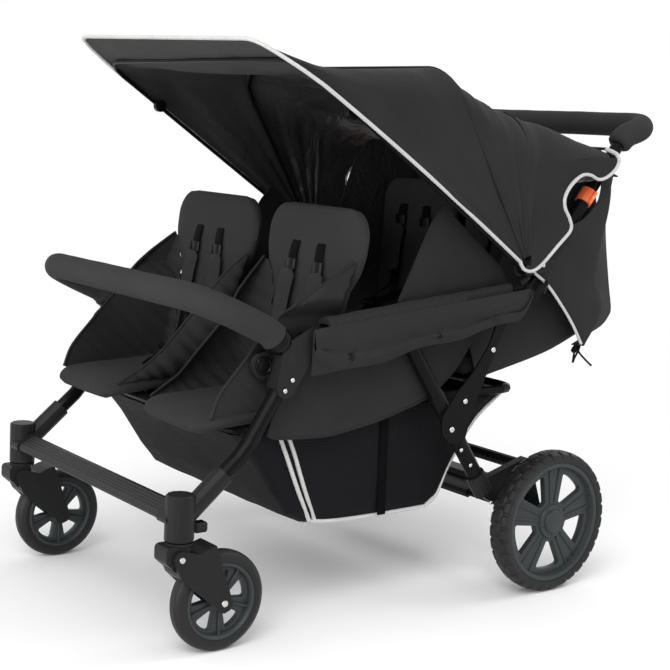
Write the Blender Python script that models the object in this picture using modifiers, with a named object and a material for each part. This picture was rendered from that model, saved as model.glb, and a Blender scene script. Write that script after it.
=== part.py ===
"""Quadruple stroller: two rows of two seats on one folding frame, with a large hood and a basket.

Units are metres, +Z is up, the front points to -Y and the stroller's left side is +X. The origin lies on the
ground under the middle of the object's box. Stations are measured rearward from the front axle, and at()
places them in this frame.
"""
from math import asin, atan2, ceil, cos, hypot, pi, radians, sin, tan

import bmesh
import bpy
from mathutils import Matrix, Vector

# Clearance between neighbours
GAP = 0.0003

# Reach of the object ahead of and behind the front axle
FRONT_REACH = 0.1155
REAR_REACH = 1.05625
FRONT_AXLE_Y = (FRONT_REACH - REAR_REACH) / 2

# Side frames, each in one plane
SIDE_X = 0.310
TUBE_RADIUS = 0.013
RAIL_FRONT = (0.170, 0.540)
RAIL_REAR = (0.699, 0.600)
RAIL_OVERHANG = 0.0145
PIN_RADIUS = 0.005
CHEEK = 0.0035
LINK_PLATE = 0.0040

# Front legs
LEG_BEND = (0.045, 0.347)
LEG_BEND_RADIUS = 0.100
LEG_HALF_DEPTH = 0.0145
LEG_TOP_BACK_OFF = 0.062
LEG_SOCKET_DEPTH = 0.038
LEG_SOCKET_REACH = 0.1115
LEG_LOWER_SLOPE = 0.860
LEG_SOCKET_WALL = 0.0045

# Casters
CASTER_STATION = -0.080
HOUSING_RADIUS = 0.0255
HOUSING_BOTTOM = 0.2062
HOUSING_TOP = 0.2870
STEM_RADIUS = 0.008
STEM_TOP = 0.268
YOKE_SHOULDER = 0.1995
YOKE_HALF_WIDTH = 0.0202
FORK_PIVOT = (-0.088, 0.180)
FORK_INNER = 0.0205
FORK_PLATE = 0.0060
FORK_PIN_RADIUS = 0.004
LOCK_TRAVEL = 0.004
LOCK_BOTTOM = 0.2170
LOCK_HEIGHT = 0.0180
LOCK_HALF_WIDTH = 0.011
LOCK_DEPTH = 0.0250

# Wheels
FRONT_WHEEL_RADIUS = 0.090
FRONT_WHEEL_WIDTH = 0.036
FRONT_RIM_RADIUS = 0.0690
REAR_WHEEL_RADIUS = 0.144
REAR_WHEEL_WIDTH = 0.046
REAR_WHEEL_X = 0.357
REAR_RIM_RADIUS = 0.1220
REAR_HUB_STATION = 0.7585
SPOKES = 5

# Foot bar between the casters
FOOT_BAR_CENTRE = (-0.084, 0.2520)
FOOT_BAR_WIDTH = 0.044
FOOT_BAR_THICKNESS = 0.013
FOOT_BAR_TILT = radians(28)
FOOT_BAR_HALF = 0.2770
FOOT_BAR_RIBS = 5

# Rear legs and axle
REAR_LEG_TOP = (0.399, 0.528)
REAR_LEG_FOOT = (0.612, 0.219)
REAR_LEG_HALF_DEPTH = 0.0150
REAR_LEG_OVERHANG = 0.0140
REAR_CROSS_TUBE = (0.725, 0.250)
REAR_CROSS_RADIUS = 0.0125
AXLE_RADIUS = 0.006
AXLE_HALF = 0.3720
BRAKE_HALF = 0.120

# Bumper bar
BUMPER_PIVOT = (0.125, 0.522)
BUMPER_KNEE = (0.085, 0.5555)
BUMPER_FRONT = (-0.038, 0.612)
BUMPER_TUBE_RADIUS = 0.011
BUMPER_CORNER = 0.075
FOAM_RADIUS = 0.025

# Handle
HANDLE_START = 0.030
HANDLE_KNEE = (0.950, 0.920)
HANDLE_TOP = (1.0325, 0.945)
HANDLE_CORNER = 0.050
SLIDER_ALONG = 0.232
SLIDER_TRAVEL = 0.012
CLAMP_HEAD = (0.745, 0.660)
LINK_OUTLINE = [((0.5440, 0.3210), 0.012), ((0.5080, 0.3180), 0.020), ((0.4840, 0.3400), 0.020),
                ((0.4830, 0.3740), 0.015), ((0.5190, 0.4200), 0.050), ((0.5560, 0.4550), 0.050),
                ((0.5940, 0.5060), 0.050), ((0.6200, 0.5750), 0.030), ((0.6960, 0.6270), 0.030),
                ((0.7330, 0.6720), 0.010), ((0.7580, 0.6620), 0.010), ((0.7250, 0.6020), 0.020),
                ((0.7060, 0.5780), 0.012), ((0.6550, 0.5760), 0.020), ((0.6190, 0.5150), 0.050),
                ((0.5830, 0.4300), 0.050), ((0.5600, 0.3800), 0.050)]

# Hood
HOOD_PIVOT = (0.660, 0.655)
BOW_RADIUS = 0.004
FRONT_BOW_ANGLE = radians(147)
FRONT_BOW_REACH = 0.666
FRONT_BOW_CORNER = 0.050
MID_BOW_ANGLE = radians(122)
MID_BOW_REACH = 0.430
MID_BOW_CORNER = 0.080
BOW_EYE = 0.008
BOW_EYE_RADIUS = 0.012
CLAMP_THICKNESS = 0.0059
CANOPY_THICKNESS = 0.0025
CANOPY_CLEARANCE = 0.0006

# Seat frame tubes
BASE_X = 0.275
BASE_RADIUS = 0.009
BASE_FRONT = (0.055, 0.374)
BASE_REAR = (0.478, 0.404)
BASE_CORNER = 0.045
MIDDLE_CROSS_STATION = 0.240
REAR_CROSS_HEIGHT = 0.430
BASKET_BAR_REAR = 0.720
BASKET_BAR_CORNER = 0.035

# Seats
SEAT_X = 0.172
FRONT_PAN_THICKNESS = 0.027
FRONT_PAN_HALF = 0.1085
FRONT_PAN_LIP_HALF = 0.120
FRONT_PAN_REAR = 0.286
BACK_THICKNESS = 0.028
FRONT_BACK_HEIGHT = 0.335
FRONT_BACK_LEAN = radians(6.5)
FRONT_BACK_STATION = 0.252
FRONT_BACK_NESTLE = 0.0050
BACK_LOW_HALF = 0.107
BACK_HIGH_HALF = 0.154
REAR_SEAT_X = 0.140
REAR_PAN_HALF = 0.130
REAR_PAN_THICKNESS = 0.050
REAR_PAN_FRONT = 0.585
REAR_PAN_REAR = 0.822
REAR_BACK_STATION = 0.793
REAR_BACK_NESTLE = 0.0061
REAR_BACK_HEIGHT = 0.275
REAR_BACK_LEAN = radians(2.5)
REAR_BACK_HALF = 0.130

# Rear body and basket
BODY_HALF = 0.284
BODY_WALL = 0.006
BODY_HEM = (0.070, 0.205)
BODY_HEM_HALF = 0.009
BODY_FLOOR_FRONT = (0.612, 0.425)
BODY_FLOOR_REAR = (0.820, 0.472)
BASKET_WALL = 0.005
BASKET_FRONT_TOP = 0.3620
BASKET_REAR_TOP = 0.3944
BASKET_UNDER = [(0.105, 0.3150), (0.150, 0.2350), (0.205, 0.1880), (0.350, 0.1760), (0.520, 0.1800),
                (0.560, 0.2600), (0.630, 0.3350)]
BASKET_RIM = [(0.450, 0.3850), (0.240, 0.3750)]

# Side panels
FLAP_INNER_X = 0.3282
SKIRT_INNER_X = 0.2890
SKIRT_OUTER_X = 0.2928
LINK_SLIT = 0.530
SKIRT_OUTLINE = [(0.103, 0.3660), (0.122, 0.3560), (0.245, 0.3540), (0.361, 0.3720), (0.460, 0.3980),
                 (0.455, 0.5660), (0.247, 0.5420), (0.247, 0.5300), (0.190, 0.5050)]
FLAP_FRONT = 0.245
FLAP_REAR = 0.652
FLAP_LOW_FRONT = 0.495
FLAP_LOW_REAR = 0.557

ROUND_STEP = radians(30.5)
BORE_SIDES = 12
WHEEL_STEPS = 20
TREAD_BLOCKS = 16
SIDES = {"left": 1, "right": -1}

GRAPHITE = ((0.020, 0.021, 0.022), 0.45, 0.0)
BLACK_METAL = ((0.010, 0.010, 0.011), 0.32, 0.6)
MOULDED = ((0.045, 0.045, 0.047), 0.50, 0.0)
SLATE = ((0.055, 0.064, 0.064), 0.45, 0.0)
RUBBER = ((0.016, 0.016, 0.016), 0.80, 0.0)
FOAM = ((0.060, 0.060, 0.062), 0.90, 0.0)
CLOTH = ((0.030, 0.030, 0.031), 0.92, 0.0)
NET = ((0.008, 0.008, 0.012), 0.85, 0.0)
ORANGE = ((0.800, 0.170, 0.045), 0.40, 0.0)


def clear_scene():
    for thing in list(bpy.data.objects):
        bpy.data.objects.remove(thing, do_unlink=True)


def new_collection(name):
    collection = bpy.data.collections.new(name)
    bpy.context.scene.collection.children.link(collection)
    return collection


clear_scene()
PARTS = new_collection("quadruple_stroller")
CUTTERS = new_collection("cutters")


# Places

def at(x, point):
    """A side-plane point (station, height) at x, in the part's frame."""
    return Vector((x, FRONT_AXLE_Y + point[0], point[1]))


def along(start, end, distance):
    """The side-plane point at a distance from start towards end."""
    length = hypot(end[0] - start[0], end[1] - start[1])
    share = distance / length
    return (start[0] + (end[0] - start[0]) * share, start[1] + (end[1] - start[1]) * share)


def polar(centre, angle, radius):
    return (centre[0] + radius * cos(angle), centre[1] + radius * sin(angle))


def bore(radius):
    """The radius of a faceted bore in which a pin of the given radius turns freely."""
    return (radius + GAP) / cos(pi / BORE_SIDES)


def rail_slope():
    return (RAIL_REAR[1] - RAIL_FRONT[1]) / (RAIL_REAR[0] - RAIL_FRONT[0])


def rail_height(station):
    return RAIL_FRONT[1] + rail_slope() * (station - RAIL_FRONT[0])


def rounded(points, radii, closed=False):
    """A path through the points with its corners rounded to the radii."""
    points = [Vector(point) for point in points]
    count = len(points)
    path = []
    for index, corner in enumerate(points):
        radius = radii[index]
        if radius == 0 or (not closed and index in (0, count - 1)):
            path.append(corner)
            continue
        before = (points[index - 1] - corner).normalized()
        after = (points[(index + 1) % count] - corner).normalized()
        opening = before.angle(after)
        turn = pi - opening
        start = corner + before * radius / tan(opening / 2)
        end = corner + after * radius / tan(opening / 2)
        centre = corner + (before + after).normalized() * radius / sin(opening / 2)
        steps = max(1, ceil(turn / ROUND_STEP))
        for step in range(steps + 1):
            share = step / steps
            first = (start - centre) * sin(turn * (1 - share)) / sin(turn)
            second = (end - centre) * sin(turn * share) / sin(turn)
            path.append(centre + first + second)
    return path


def hull(circles, steps=8):
    """The outline of a belt round circles given as (station, height, radius)."""
    points = []
    for station, height, radius in circles:
        for step in range(steps):
            points.append(polar((station, height), 2 * pi * step / steps, radius))
    points = sorted(set((round(p[0], 7), round(p[1], 7)) for p in points))
    chains = []
    for ordered in (points, points[::-1]):
        chain = []
        for point in ordered:
            while len(chain) > 1 and turns_right(chain[-2], chain[-1], point):
                chain.pop()
            chain.append(point)
        chains.append(chain[:-1])
    return chains[0] + chains[1]


def turns_right(first, second, third):
    across = (second[0] - first[0]) * (third[1] - first[1]) - (second[1] - first[1]) * (third[0] - first[0])
    return across <= 0


def offset_path(points, distance):
    """An open side-plane path moved to its left by a distance."""
    moved = []
    for index, point in enumerate(points):
        before = Vector(point) - Vector(points[max(index - 1, 0)])
        after = Vector(points[min(index + 1, len(points) - 1)]) - Vector(point)
        before = (before if before.length else after).normalized()
        after = (after if after.length else before).normalized()
        middle = (before + after).normalized()
        normal = Vector((-middle.y, middle.x))
        moved.append(tuple(Vector(point) + normal * distance / middle.dot(after)))
    return moved


# Materials and objects

def material(name, look):
    colour, roughness, metallic = look
    made = bpy.data.materials.new(name)
    made.use_nodes = True
    shader = made.node_tree.nodes["Principled BSDF"]
    shader.inputs["Base Color"].default_value = (*colour, 1)
    shader.inputs["Roughness"].default_value = roughness
    shader.inputs["Metallic"].default_value = metallic
    return made


def new_object(name, mesh, look=None):
    thing = bpy.data.objects.new(name, mesh)
    if look:
        PARTS.objects.link(thing)
        mesh.materials.append(material(name, look))
        mesh.shade_smooth()
        mesh.set_sharp_from_angle(angle=radians(32))
    else:
        CUTTERS.objects.link(thing)
        thing.hide_render = True
        thing.display_type = "WIRE"
    return thing


def mesh_from_curve(curve, matrix=Matrix.Identity(4)):
    """The welded mesh of a curve, moved by a matrix."""
    holder = bpy.data.objects.new(curve.name, curve)
    bpy.context.scene.collection.objects.link(holder)
    depsgraph = bpy.context.evaluated_depsgraph_get()
    mesh = bpy.data.meshes.new_from_object(holder.evaluated_get(depsgraph))
    bpy.data.objects.remove(holder, do_unlink=True)
    work = bmesh.new()
    work.from_mesh(mesh)
    bmesh.ops.remove_doubles(work, verts=work.verts, dist=1e-5)
    bmesh.ops.dissolve_degenerate(work, edges=work.edges, dist=1e-6)
    bmesh.ops.recalc_face_normals(work, faces=work.faces)
    work.to_mesh(mesh)
    work.free()
    mesh.transform(matrix)
    return mesh


def tube_mesh(path, radius, sides=8):
    curve = bpy.data.curves.new("path", "CURVE")
    curve.dimensions = "3D"
    curve.bevel_depth = radius
    curve.bevel_resolution = (sides - 4) // 2
    curve.use_fill_caps = True
    spline = curve.splines.new("POLY")
    spline.points.add(len(path) - 1)
    for point, place in zip(spline.points, path):
        point.co = (*place, 1)
    return mesh_from_curve(curve)


def prism_mesh(outlines, low, high):
    """Side-plane outlines (station, height), extruded along X from low to high."""
    curve = bpy.data.curves.new("outline", "CURVE")
    curve.dimensions = "2D"
    curve.fill_mode = "BOTH"
    curve.extrude = abs(high - low) / 2
    for outline in outlines:
        spline = curve.splines.new("POLY")
        spline.points.add(len(outline) - 1)
        for point, place in zip(spline.points, outline):
            point.co = (place[0], place[1], 0, 1)
        spline.use_cyclic_u = True
    upright = Matrix(((0, 0, 1, (low + high) / 2), (1, 0, 0, FRONT_AXLE_Y), (0, 1, 0, 0), (0, 0, 0, 1)))
    return mesh_from_curve(curve, upright)


def cylinder_mesh(start, end, radius, sides=BORE_SIDES):
    """A cylinder between two points in the part's frame."""
    start = Vector(start)
    end = Vector(end)
    work = bmesh.new()
    length = (end - start).length
    bmesh.ops.create_cone(work, cap_ends=True, segments=sides, radius1=radius, radius2=radius, depth=length)
    turn = (end - start).to_track_quat("Z", "Y").to_matrix().to_4x4()
    bmesh.ops.transform(work, matrix=Matrix.Translation((start + end) / 2) @ turn, verts=work.verts)
    mesh = bpy.data.meshes.new("cylinder")
    work.to_mesh(mesh)
    work.free()
    return mesh


def box_mesh(low, high, bevel=0.0):
    """A box between two corners, with bevelled edges."""
    work = bmesh.new()
    bmesh.ops.create_cube(work, size=1)
    size = Vector(high) - Vector(low)
    middle = (Vector(high) + Vector(low)) / 2
    place = Matrix.Translation(middle) @ Matrix.Diagonal((*size, 1))
    bmesh.ops.transform(work, matrix=place, verts=work.verts)
    if bevel:
        bmesh.ops.bevel(work, geom=work.edges, offset=bevel, segments=1, affect="EDGES")
    mesh = bpy.data.meshes.new("box")
    work.to_mesh(mesh)
    work.free()
    return mesh


def loft_mesh(rings, cap=True):
    """Faces between closed rings with like numbers of points, with both ends capped."""
    work = bmesh.new()
    rows = [[work.verts.new(point) for point in ring] for ring in rings]
    for row, following in zip(rows, rows[1:]):
        for index in range(len(row)):
            across = (index + 1) % len(row)
            work.faces.new((row[index], row[across], following[across], following[index]))
    if cap:
        work.faces.new(rows[0])
        work.faces.new(rows[-1])
    bmesh.ops.recalc_face_normals(work, faces=work.faces)
    mesh = bpy.data.meshes.new("loft")
    work.to_mesh(mesh)
    work.free()
    return mesh


def turned(name, profile, place, look, steps, axis="X"):
    """A closed (radius, along) profile turned about an axis through place, with a flat facet below."""
    work = bmesh.new()
    turn = pi / steps
    verts = [work.verts.new((radius * cos(turn), radius * sin(turn), height)) for radius, height in profile]
    for index, vert in enumerate(verts):
        work.edges.new((vert, verts[(index + 1) % len(verts)]))
    mesh = bpy.data.meshes.new(name)
    work.to_mesh(mesh)
    work.free()
    thing = new_object(name, mesh, look)
    screw = thing.modifiers.new("turn", "SCREW")
    screw.steps = steps
    screw.render_steps = steps
    screw.use_merge_vertices = True
    screw.merge_threshold = 1e-5
    screw.use_smooth_shade = True
    thing.location = place
    if axis == "X":
        thing.rotation_euler = (0, pi / 2, 0)
    return thing


def cut(target, mesh):
    use(target, mesh, "DIFFERENCE")


def fuse(target, mesh):
    use(target, mesh, "UNION")


def use(target, mesh, operation):
    tool = new_object(f"{target.name}_{operation.lower()}_{len(target.modifiers)}", mesh)
    modifier = target.modifiers.new(tool.name, "BOOLEAN")
    modifier.object = tool
    modifier.operation = operation


def side_prism(outline, low, high):
    return prism_mesh([outline], low, high)


def side_cylinder(point, low, high, radius, sides=BORE_SIDES):
    return cylinder_mesh(at(low, point), at(high, point), radius, sides)


def mirrored(mesh):
    """The mirror image of a mesh in the plane X = 0."""
    image = mesh.copy()
    image.transform(Matrix.Diagonal((-1, 1, 1, 1)))
    image.flip_normals()
    return image


def with_image(mesh):
    """A mesh together with its mirror image, as one tool for both sides."""
    work = bmesh.new()
    work.from_mesh(mesh)
    work.from_mesh(mirrored(mesh))
    work.to_mesh(mesh)
    work.free()
    return mesh


# Wheels

def window_outline(centre, index, inner, outer, inner_half, outer_half):
    """One opening between two spokes, as an outline of two arcs."""
    middle = 2 * pi * index / SPOKES + pi / 2
    points = []
    for radius, half, direction in ((inner, inner_half, -1), (outer, outer_half, 1)):
        spread = asin(half / radius)
        steps = 1 if radius == inner else 3
        for step in range(steps + 1):
            share = (2 * step / steps - 1) * direction
            points.append(polar(centre, middle - spread * share, radius))
    return points


def front_wheel():
    centre = (0, FRONT_WHEEL_RADIUS)
    place = at(SIDE_X, centre)
    half = FRONT_WHEEL_WIDTH / 2
    inner = FRONT_RIM_RADIUS + GAP
    crown = FRONT_WHEEL_RADIUS / cos(pi / WHEEL_STEPS)
    tyre = [(crown, 0.007), (crown, -0.007), (crown - 0.006, 0.003 - half), (inner + 0.008, -half),
            (inner, -half + 0.002), (inner, half - 0.002), (inner + 0.008, half),
            (crown - 0.006, half - 0.003)]
    turned("front_tyre_left", tyre, place, RUBBER, WHEEL_STEPS)
    rim_half = half - 0.0025
    hub = 0.0130
    hub_half = FORK_INNER - 2 * GAP
    web = 0.0065
    band = FRONT_RIM_RADIUS - 0.007
    hole = bore(FORK_PIN_RADIUS)
    rim = [(FRONT_RIM_RADIUS, rim_half), (FRONT_RIM_RADIUS, -rim_half), (band, -rim_half),
           (band - 0.004, -web), (hub + 0.007, -web - 0.002), (hub, -hub_half), (hole, -hub_half),
           (hole, hub_half), (hub, hub_half), (hub + 0.007, web + 0.002), (band - 0.004, web),
           (band, rim_half)]
    wheel = turned("front_rim_left", rim, place, SLATE, WHEEL_STEPS)
    windows = []
    for index in range(SPOKES):
        windows.append(window_outline(centre, index, 0.0250, 0.0530, 0.0045, 0.0165))
    cut(wheel, prism_mesh(windows, SIDE_X - half, SIDE_X + half))


def tread_ring(angle, recessed, facet, place):
    """One slice of the rear tyre, with its shoulder blocks full or recessed."""
    half = REAR_WHEEL_WIDTH / 2
    inner = (REAR_RIM_RADIUS + GAP) / cos(facet / 2)
    depth = 0.0028 if recessed else 0.0
    outer = REAR_WHEEL_RADIUS / cos(facet / 2)
    profile = [(outer, 0.010), (outer, -0.010), (outer - 0.005 - depth, -half), (inner, 0.002 - half),
               (inner, half - 0.002), (outer - 0.005 - depth, half)]
    ring = []
    for radius, across in profile:
        ring.append(place + Vector((across, radius * cos(angle), radius * sin(angle))))
    return ring


def rear_wheel():
    centre = (REAR_HUB_STATION, REAR_WHEEL_RADIUS)
    place = at(REAR_WHEEL_X, centre)
    slices = TREAD_BLOCKS * 3
    facet = 2 * pi / slices
    rings = []
    for index in range(slices):
        rings.append(tread_ring(-pi / 2 + facet * (index - 0.5), index % 3 > 0, facet, place))
    new_object("rear_tyre_left", loft_mesh(rings + rings[:1], cap=False), RUBBER)
    weld = bpy.data.objects["rear_tyre_left"].modifiers.new("close", "WELD")
    weld.merge_threshold = 1e-5
    half = REAR_WHEEL_WIDTH / 2 - 0.0015
    hub = 0.0330
    band = REAR_RIM_RADIUS - 0.010
    outer_face = 0.0120
    back = -0.0040
    hole = bore(AXLE_RADIUS)
    hole_end = AXLE_HALF + 2 * GAP - REAR_WHEEL_X
    cap = 0.0215
    rim = [(REAR_RIM_RADIUS, half), (REAR_RIM_RADIUS, -half), (band, -half), (band - 0.004, back),
           (hub, back - 0.002), (hub - 0.014, -half), (hole, -half), (hole, hole_end), (0, hole_end),
           (0, half + 0.001), (cap - 0.001, half + 0.001), (cap, outer_face + 0.004),
           (hub, outer_face + 0.004), (hub + 0.006, outer_face - 0.003), (band, half - 0.003)]
    wheel = turned("rear_rim_left", rim, place, SLATE, WHEEL_STEPS)
    windows = []
    for index in range(SPOKES):
        windows.append(window_outline(centre, index + 0.5, 0.0440, 0.0960, 0.0080, 0.0270))
    cut(wheel, prism_mesh(windows, REAR_WHEEL_X - half * 1.3, REAR_WHEEL_X + half * 1.3))


# Casters

def leg_section(mesh, half_width, half_depth):
    """Squeeze a round tube built on the plane X = 0 to its oval width, and move it to the side frame."""
    mesh.transform(Matrix.Translation((SIDE_X, 0, 0)) @ Matrix.Diagonal((half_width / half_depth, 1, 1, 1)))
    return mesh


def oval_rod(start, end, half_width, half_depth):
    mesh = cylinder_mesh(at(0, start), at(0, end), half_depth)
    return leg_section(mesh, half_width, half_depth)


def caster_housing():
    x = SIDE_X
    post = cylinder_mesh(at(x, (CASTER_STATION, HOUSING_BOTTOM)), at(x, (CASTER_STATION, HOUSING_TOP)),
                         HOUSING_RADIUS)
    housing = new_object("caster_housing_left", post, MOULDED)
    rim = housing.modifiers.new("rim", "BEVEL")
    rim.width = 0.0025
    rim.segments = 1
    rim.limit_method = "ANGLE"
    root = (CASTER_STATION, leg_line(CASTER_STATION))
    mouth = along(root, LEG_BEND, LEG_SOCKET_REACH)
    seat = along(root, LEG_BEND, LEG_SOCKET_REACH - LEG_SOCKET_DEPTH)
    outer_width = TUBE_RADIUS + LEG_SOCKET_WALL
    outer_depth = LEG_HALF_DEPTH + LEG_SOCKET_WALL
    fuse(housing, oval_rod(root, mouth, outer_width, outer_depth))
    pad = hull([(*polar(FOOT_BAR_CENTRE, FOOT_BAR_TILT, end), FOOT_BAR_THICKNESS * 0.75)
                for end in (-FOOT_BAR_WIDTH * 0.36, FOOT_BAR_WIDTH * 0.36)])
    fuse(housing, side_prism(pad, FOOT_BAR_HALF + GAP, SIDE_X))
    beyond = along(root, LEG_BEND, LEG_SOCKET_REACH + LEG_SOCKET_DEPTH)
    cut(housing, oval_rod(seat, beyond, TUBE_RADIUS + 2 * GAP, LEG_HALF_DEPTH + 2 * GAP))
    stem_floor = at(x, (CASTER_STATION, HOUSING_BOTTOM - 0.01))
    cut(housing, cylinder_mesh(stem_floor, at(x, (CASTER_STATION, STEM_TOP + 2 * GAP)), bore(STEM_RADIUS)))


def leg_line(station):
    """Height of the lower stretch of the front leg's axis at a station."""
    return LEG_BEND[1] + LEG_LOWER_SLOPE * (station - LEG_BEND[0])


def front_leg():
    root = (CASTER_STATION, leg_line(CASTER_STATION))
    start = along(root, LEG_BEND, LEG_SOCKET_REACH - LEG_SOCKET_DEPTH + 2 * GAP)
    end = along(RAIL_FRONT, LEG_BEND, LEG_TOP_BACK_OFF)
    path = rounded([at(0, start), at(0, LEG_BEND), at(0, end)], [0, LEG_BEND_RADIUS, 0])
    mesh = tube_mesh(path, LEG_HALF_DEPTH, 12)
    new_object("front_leg_left", leg_section(mesh, TUBE_RADIUS, LEG_HALF_DEPTH), BLACK_METAL)


def caster_yoke():
    x = SIDE_X
    top = HOUSING_BOTTOM - 2 * GAP
    shoulder = HOUSING_RADIUS - 0.0005
    profile = [(0, STEM_TOP), (STEM_RADIUS - 0.001, STEM_TOP), (STEM_RADIUS, STEM_TOP - 0.001),
               (STEM_RADIUS, top), (shoulder, top), (shoulder, YOKE_SHOULDER + 0.002),
               (HOUSING_RADIUS - 0.003, YOKE_SHOULDER), (0, YOKE_SHOULDER)]
    yoke = turned("caster_yoke_left", profile, at(x, (CASTER_STATION, 0)), MOULDED, BORE_SIDES, axis="Z")
    corners = [(0.018, 0.022), (-0.0275, 0.022), (-0.0275, -0.004), (-0.008, -0.0215), (0.0215, -0.012)]
    corners = [(FORK_PIVOT[0] + ahead, FORK_PIVOT[1] + rise) for ahead, rise in corners]
    nose = rounded(corners, [0, 0.008, 0.010, 0.008, 0.012], closed=True)
    fuse(yoke, prism_mesh([nose], x - YOKE_HALF_WIDTH, x + YOKE_HALF_WIDTH))
    cut(yoke, cylinder_mesh(at(x - 0.03, FORK_PIVOT), at(x + 0.03, FORK_PIVOT), bore(FORK_PIN_RADIUS)))


def front_fork():
    x = SIDE_X
    outer = FORK_INNER + FORK_PLATE
    hub = (0, FRONT_WHEEL_RADIUS)
    arch = 0.1080
    clear = FRONT_WHEEL_RADIUS + 0.0055
    pivot_angle = atan2(FORK_PIVOT[1] - hub[1], FORK_PIVOT[0])
    guard = [polar(hub, angle, arch) for angle in (radians(101), radians(110), radians(119))]
    ear = [polar(FORK_PIVOT, pivot_angle + turn, 0.0150) for turn in (-1.3, -0.65, 0.0, 0.65, 1.3)]
    low = [polar(hub, radians(147), arch - 0.002), polar(hub, radians(151), 0.080)]
    foot = [polar(hub, radians(angle), 0.0180) for angle in (195, 230, 270, 310, 350)]
    blade = prism_mesh([guard + ear + low + foot], x - outer, x + outer)
    fork = new_object("front_fork_left", blade, MOULDED)
    cut(fork, cylinder_mesh(at(x - FORK_INNER, hub), at(x + FORK_INNER, hub), clear, WHEEL_STEPS))
    cut(fork, cylinder_mesh(at(x - FORK_INNER, FORK_PIVOT), at(x + FORK_INNER, FORK_PIVOT), 0.0245, 16))
    head = outer + 0.0018
    for point, head_radius in ((hub, 0.0065), (FORK_PIVOT, 0.0055)):
        pin = turned_pin(x, point, head, outer - 0.001, FORK_PIN_RADIUS, head_radius)
        fuse(fork, pin)


def turned_pin(x, point, head, neck, radius, head_radius):
    """A pin along X with a head at each end."""
    rings = []
    for across, size in ((-head, head_radius - 0.001), (-neck, head_radius), (-neck, radius), (neck, radius),
                         (neck, head_radius), (head, head_radius - 0.001)):
        ring = []
        for step in range(8):
            angle = 2 * pi * (step + 0.5) / 8
            ring.append(at(x + across, polar(point, angle, size)))
        rings.append(ring)
    return loft_mesh(rings)


def swivel_lock():
    """The tab behind the caster post, hollowed from above, which slides down to hold the yoke."""
    x = SIDE_X
    face = CASTER_STATION + HOUSING_RADIUS + GAP
    low = at(x - LOCK_HALF_WIDTH, (face, LOCK_BOTTOM))
    high = at(x + LOCK_HALF_WIDTH, (face + LOCK_DEPTH, LOCK_BOTTOM + LOCK_HEIGHT))
    lock = new_object("swivel_lock_left", box_mesh(low, high, 0.003), MOULDED)
    wall = 0.004
    inner_low = at(x - LOCK_HALF_WIDTH + wall, (face + wall, LOCK_BOTTOM + LOCK_HEIGHT * 0.45))
    inner_high = at(x + LOCK_HALF_WIDTH - wall, (face + LOCK_DEPTH - wall, LOCK_BOTTOM + LOCK_HEIGHT * 2))
    cut(lock, box_mesh(inner_low, inner_high))


def front_crossbar():
    """The ribbed foot bar, its section tilted with the front edge lower."""
    half = FOOT_BAR_WIDTH / 2
    lift = FOOT_BAR_THICKNESS / 2
    rib = 0.0014
    section = [(-half + 0.004, -lift), (half - 0.004, -lift), (half, -lift + 0.004), (half, lift - 0.004)]
    pitch = (2 * half - 0.012) / FOOT_BAR_RIBS
    for index in range(FOOT_BAR_RIBS):
        start = half - 0.006 - pitch * index
        section += [(start, lift), (start - pitch * 0.25, lift + rib), (start - pitch * 0.60, lift + rib),
                    (start - pitch * 0.85, lift)]
    section += [(-half, lift - 0.004), (-half, -lift + 0.004)]
    turn = Matrix.Rotation(FOOT_BAR_TILT, 2)
    outline = [tuple(turn @ Vector(point) + Vector(FOOT_BAR_CENTRE)) for point in section]
    new_object("front_crossbar", prism_mesh([outline], -FOOT_BAR_HALF, FOOT_BAR_HALF), GRAPHITE)


# Side frames

def leg_bracket():
    """The moulded clevis on the front leg, which holds the rail's end and the bumper's eye."""
    inside = SIDE_X - TUBE_RADIUS - GAP
    outside = SIDE_X + TUBE_RADIUS + GAP
    foot = along(RAIL_FRONT, LEG_BEND, LEG_TOP_BACK_OFF + LEG_SOCKET_DEPTH)
    body = hull([(*RAIL_FRONT, 0.0215), (*BUMPER_PIVOT, 0.0170), (*foot, LEG_HALF_DEPTH + LEG_SOCKET_WALL)])
    bracket = new_object("leg_bracket_left", side_prism(body, inside - CHEEK, outside + CHEEK), MOULDED)
    hub = (0.088, 0.4930)
    hub_radius = 0.0240
    arm = hull([(*BUMPER_PIVOT, 0.0160), (*hub, 0.0180)])
    fuse(bracket, side_prism(arm, inside - CHEEK, inside - GAP))
    fuse(bracket, side_cylinder(hub, inside - 0.0105, inside - 2 * GAP, hub_radius))
    cut(bracket, side_cylinder(hub, inside - 0.0200, inside - 0.0085, hub_radius - 0.006))
    rail_room = 0.0280
    eye_room = 0.0185
    above = 0.120
    slot = hull([(*RAIL_FRONT, rail_room), (*BUMPER_PIVOT, eye_room),
                 (RAIL_FRONT[0] + above, RAIL_FRONT[1] + above, 0.01),
                 (BUMPER_PIVOT[0] - above, BUMPER_PIVOT[1] + above, 0.01)], steps=12)
    cut(bracket, side_prism(slot, inside, outside))
    seat = along(RAIL_FRONT, LEG_BEND, LEG_TOP_BACK_OFF - 2 * GAP)
    beyond = along(RAIL_FRONT, LEG_BEND, LEG_TOP_BACK_OFF + 2 * LEG_SOCKET_DEPTH)
    cut(bracket, oval_rod(seat, beyond, TUBE_RADIUS + 2 * GAP, LEG_HALF_DEPTH + 2 * GAP))
    for point in (RAIL_FRONT, BUMPER_PIVOT):
        fuse(bracket, side_cylinder(point, inside - CHEEK / 2, outside + CHEEK / 2, PIN_RADIUS))


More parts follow.
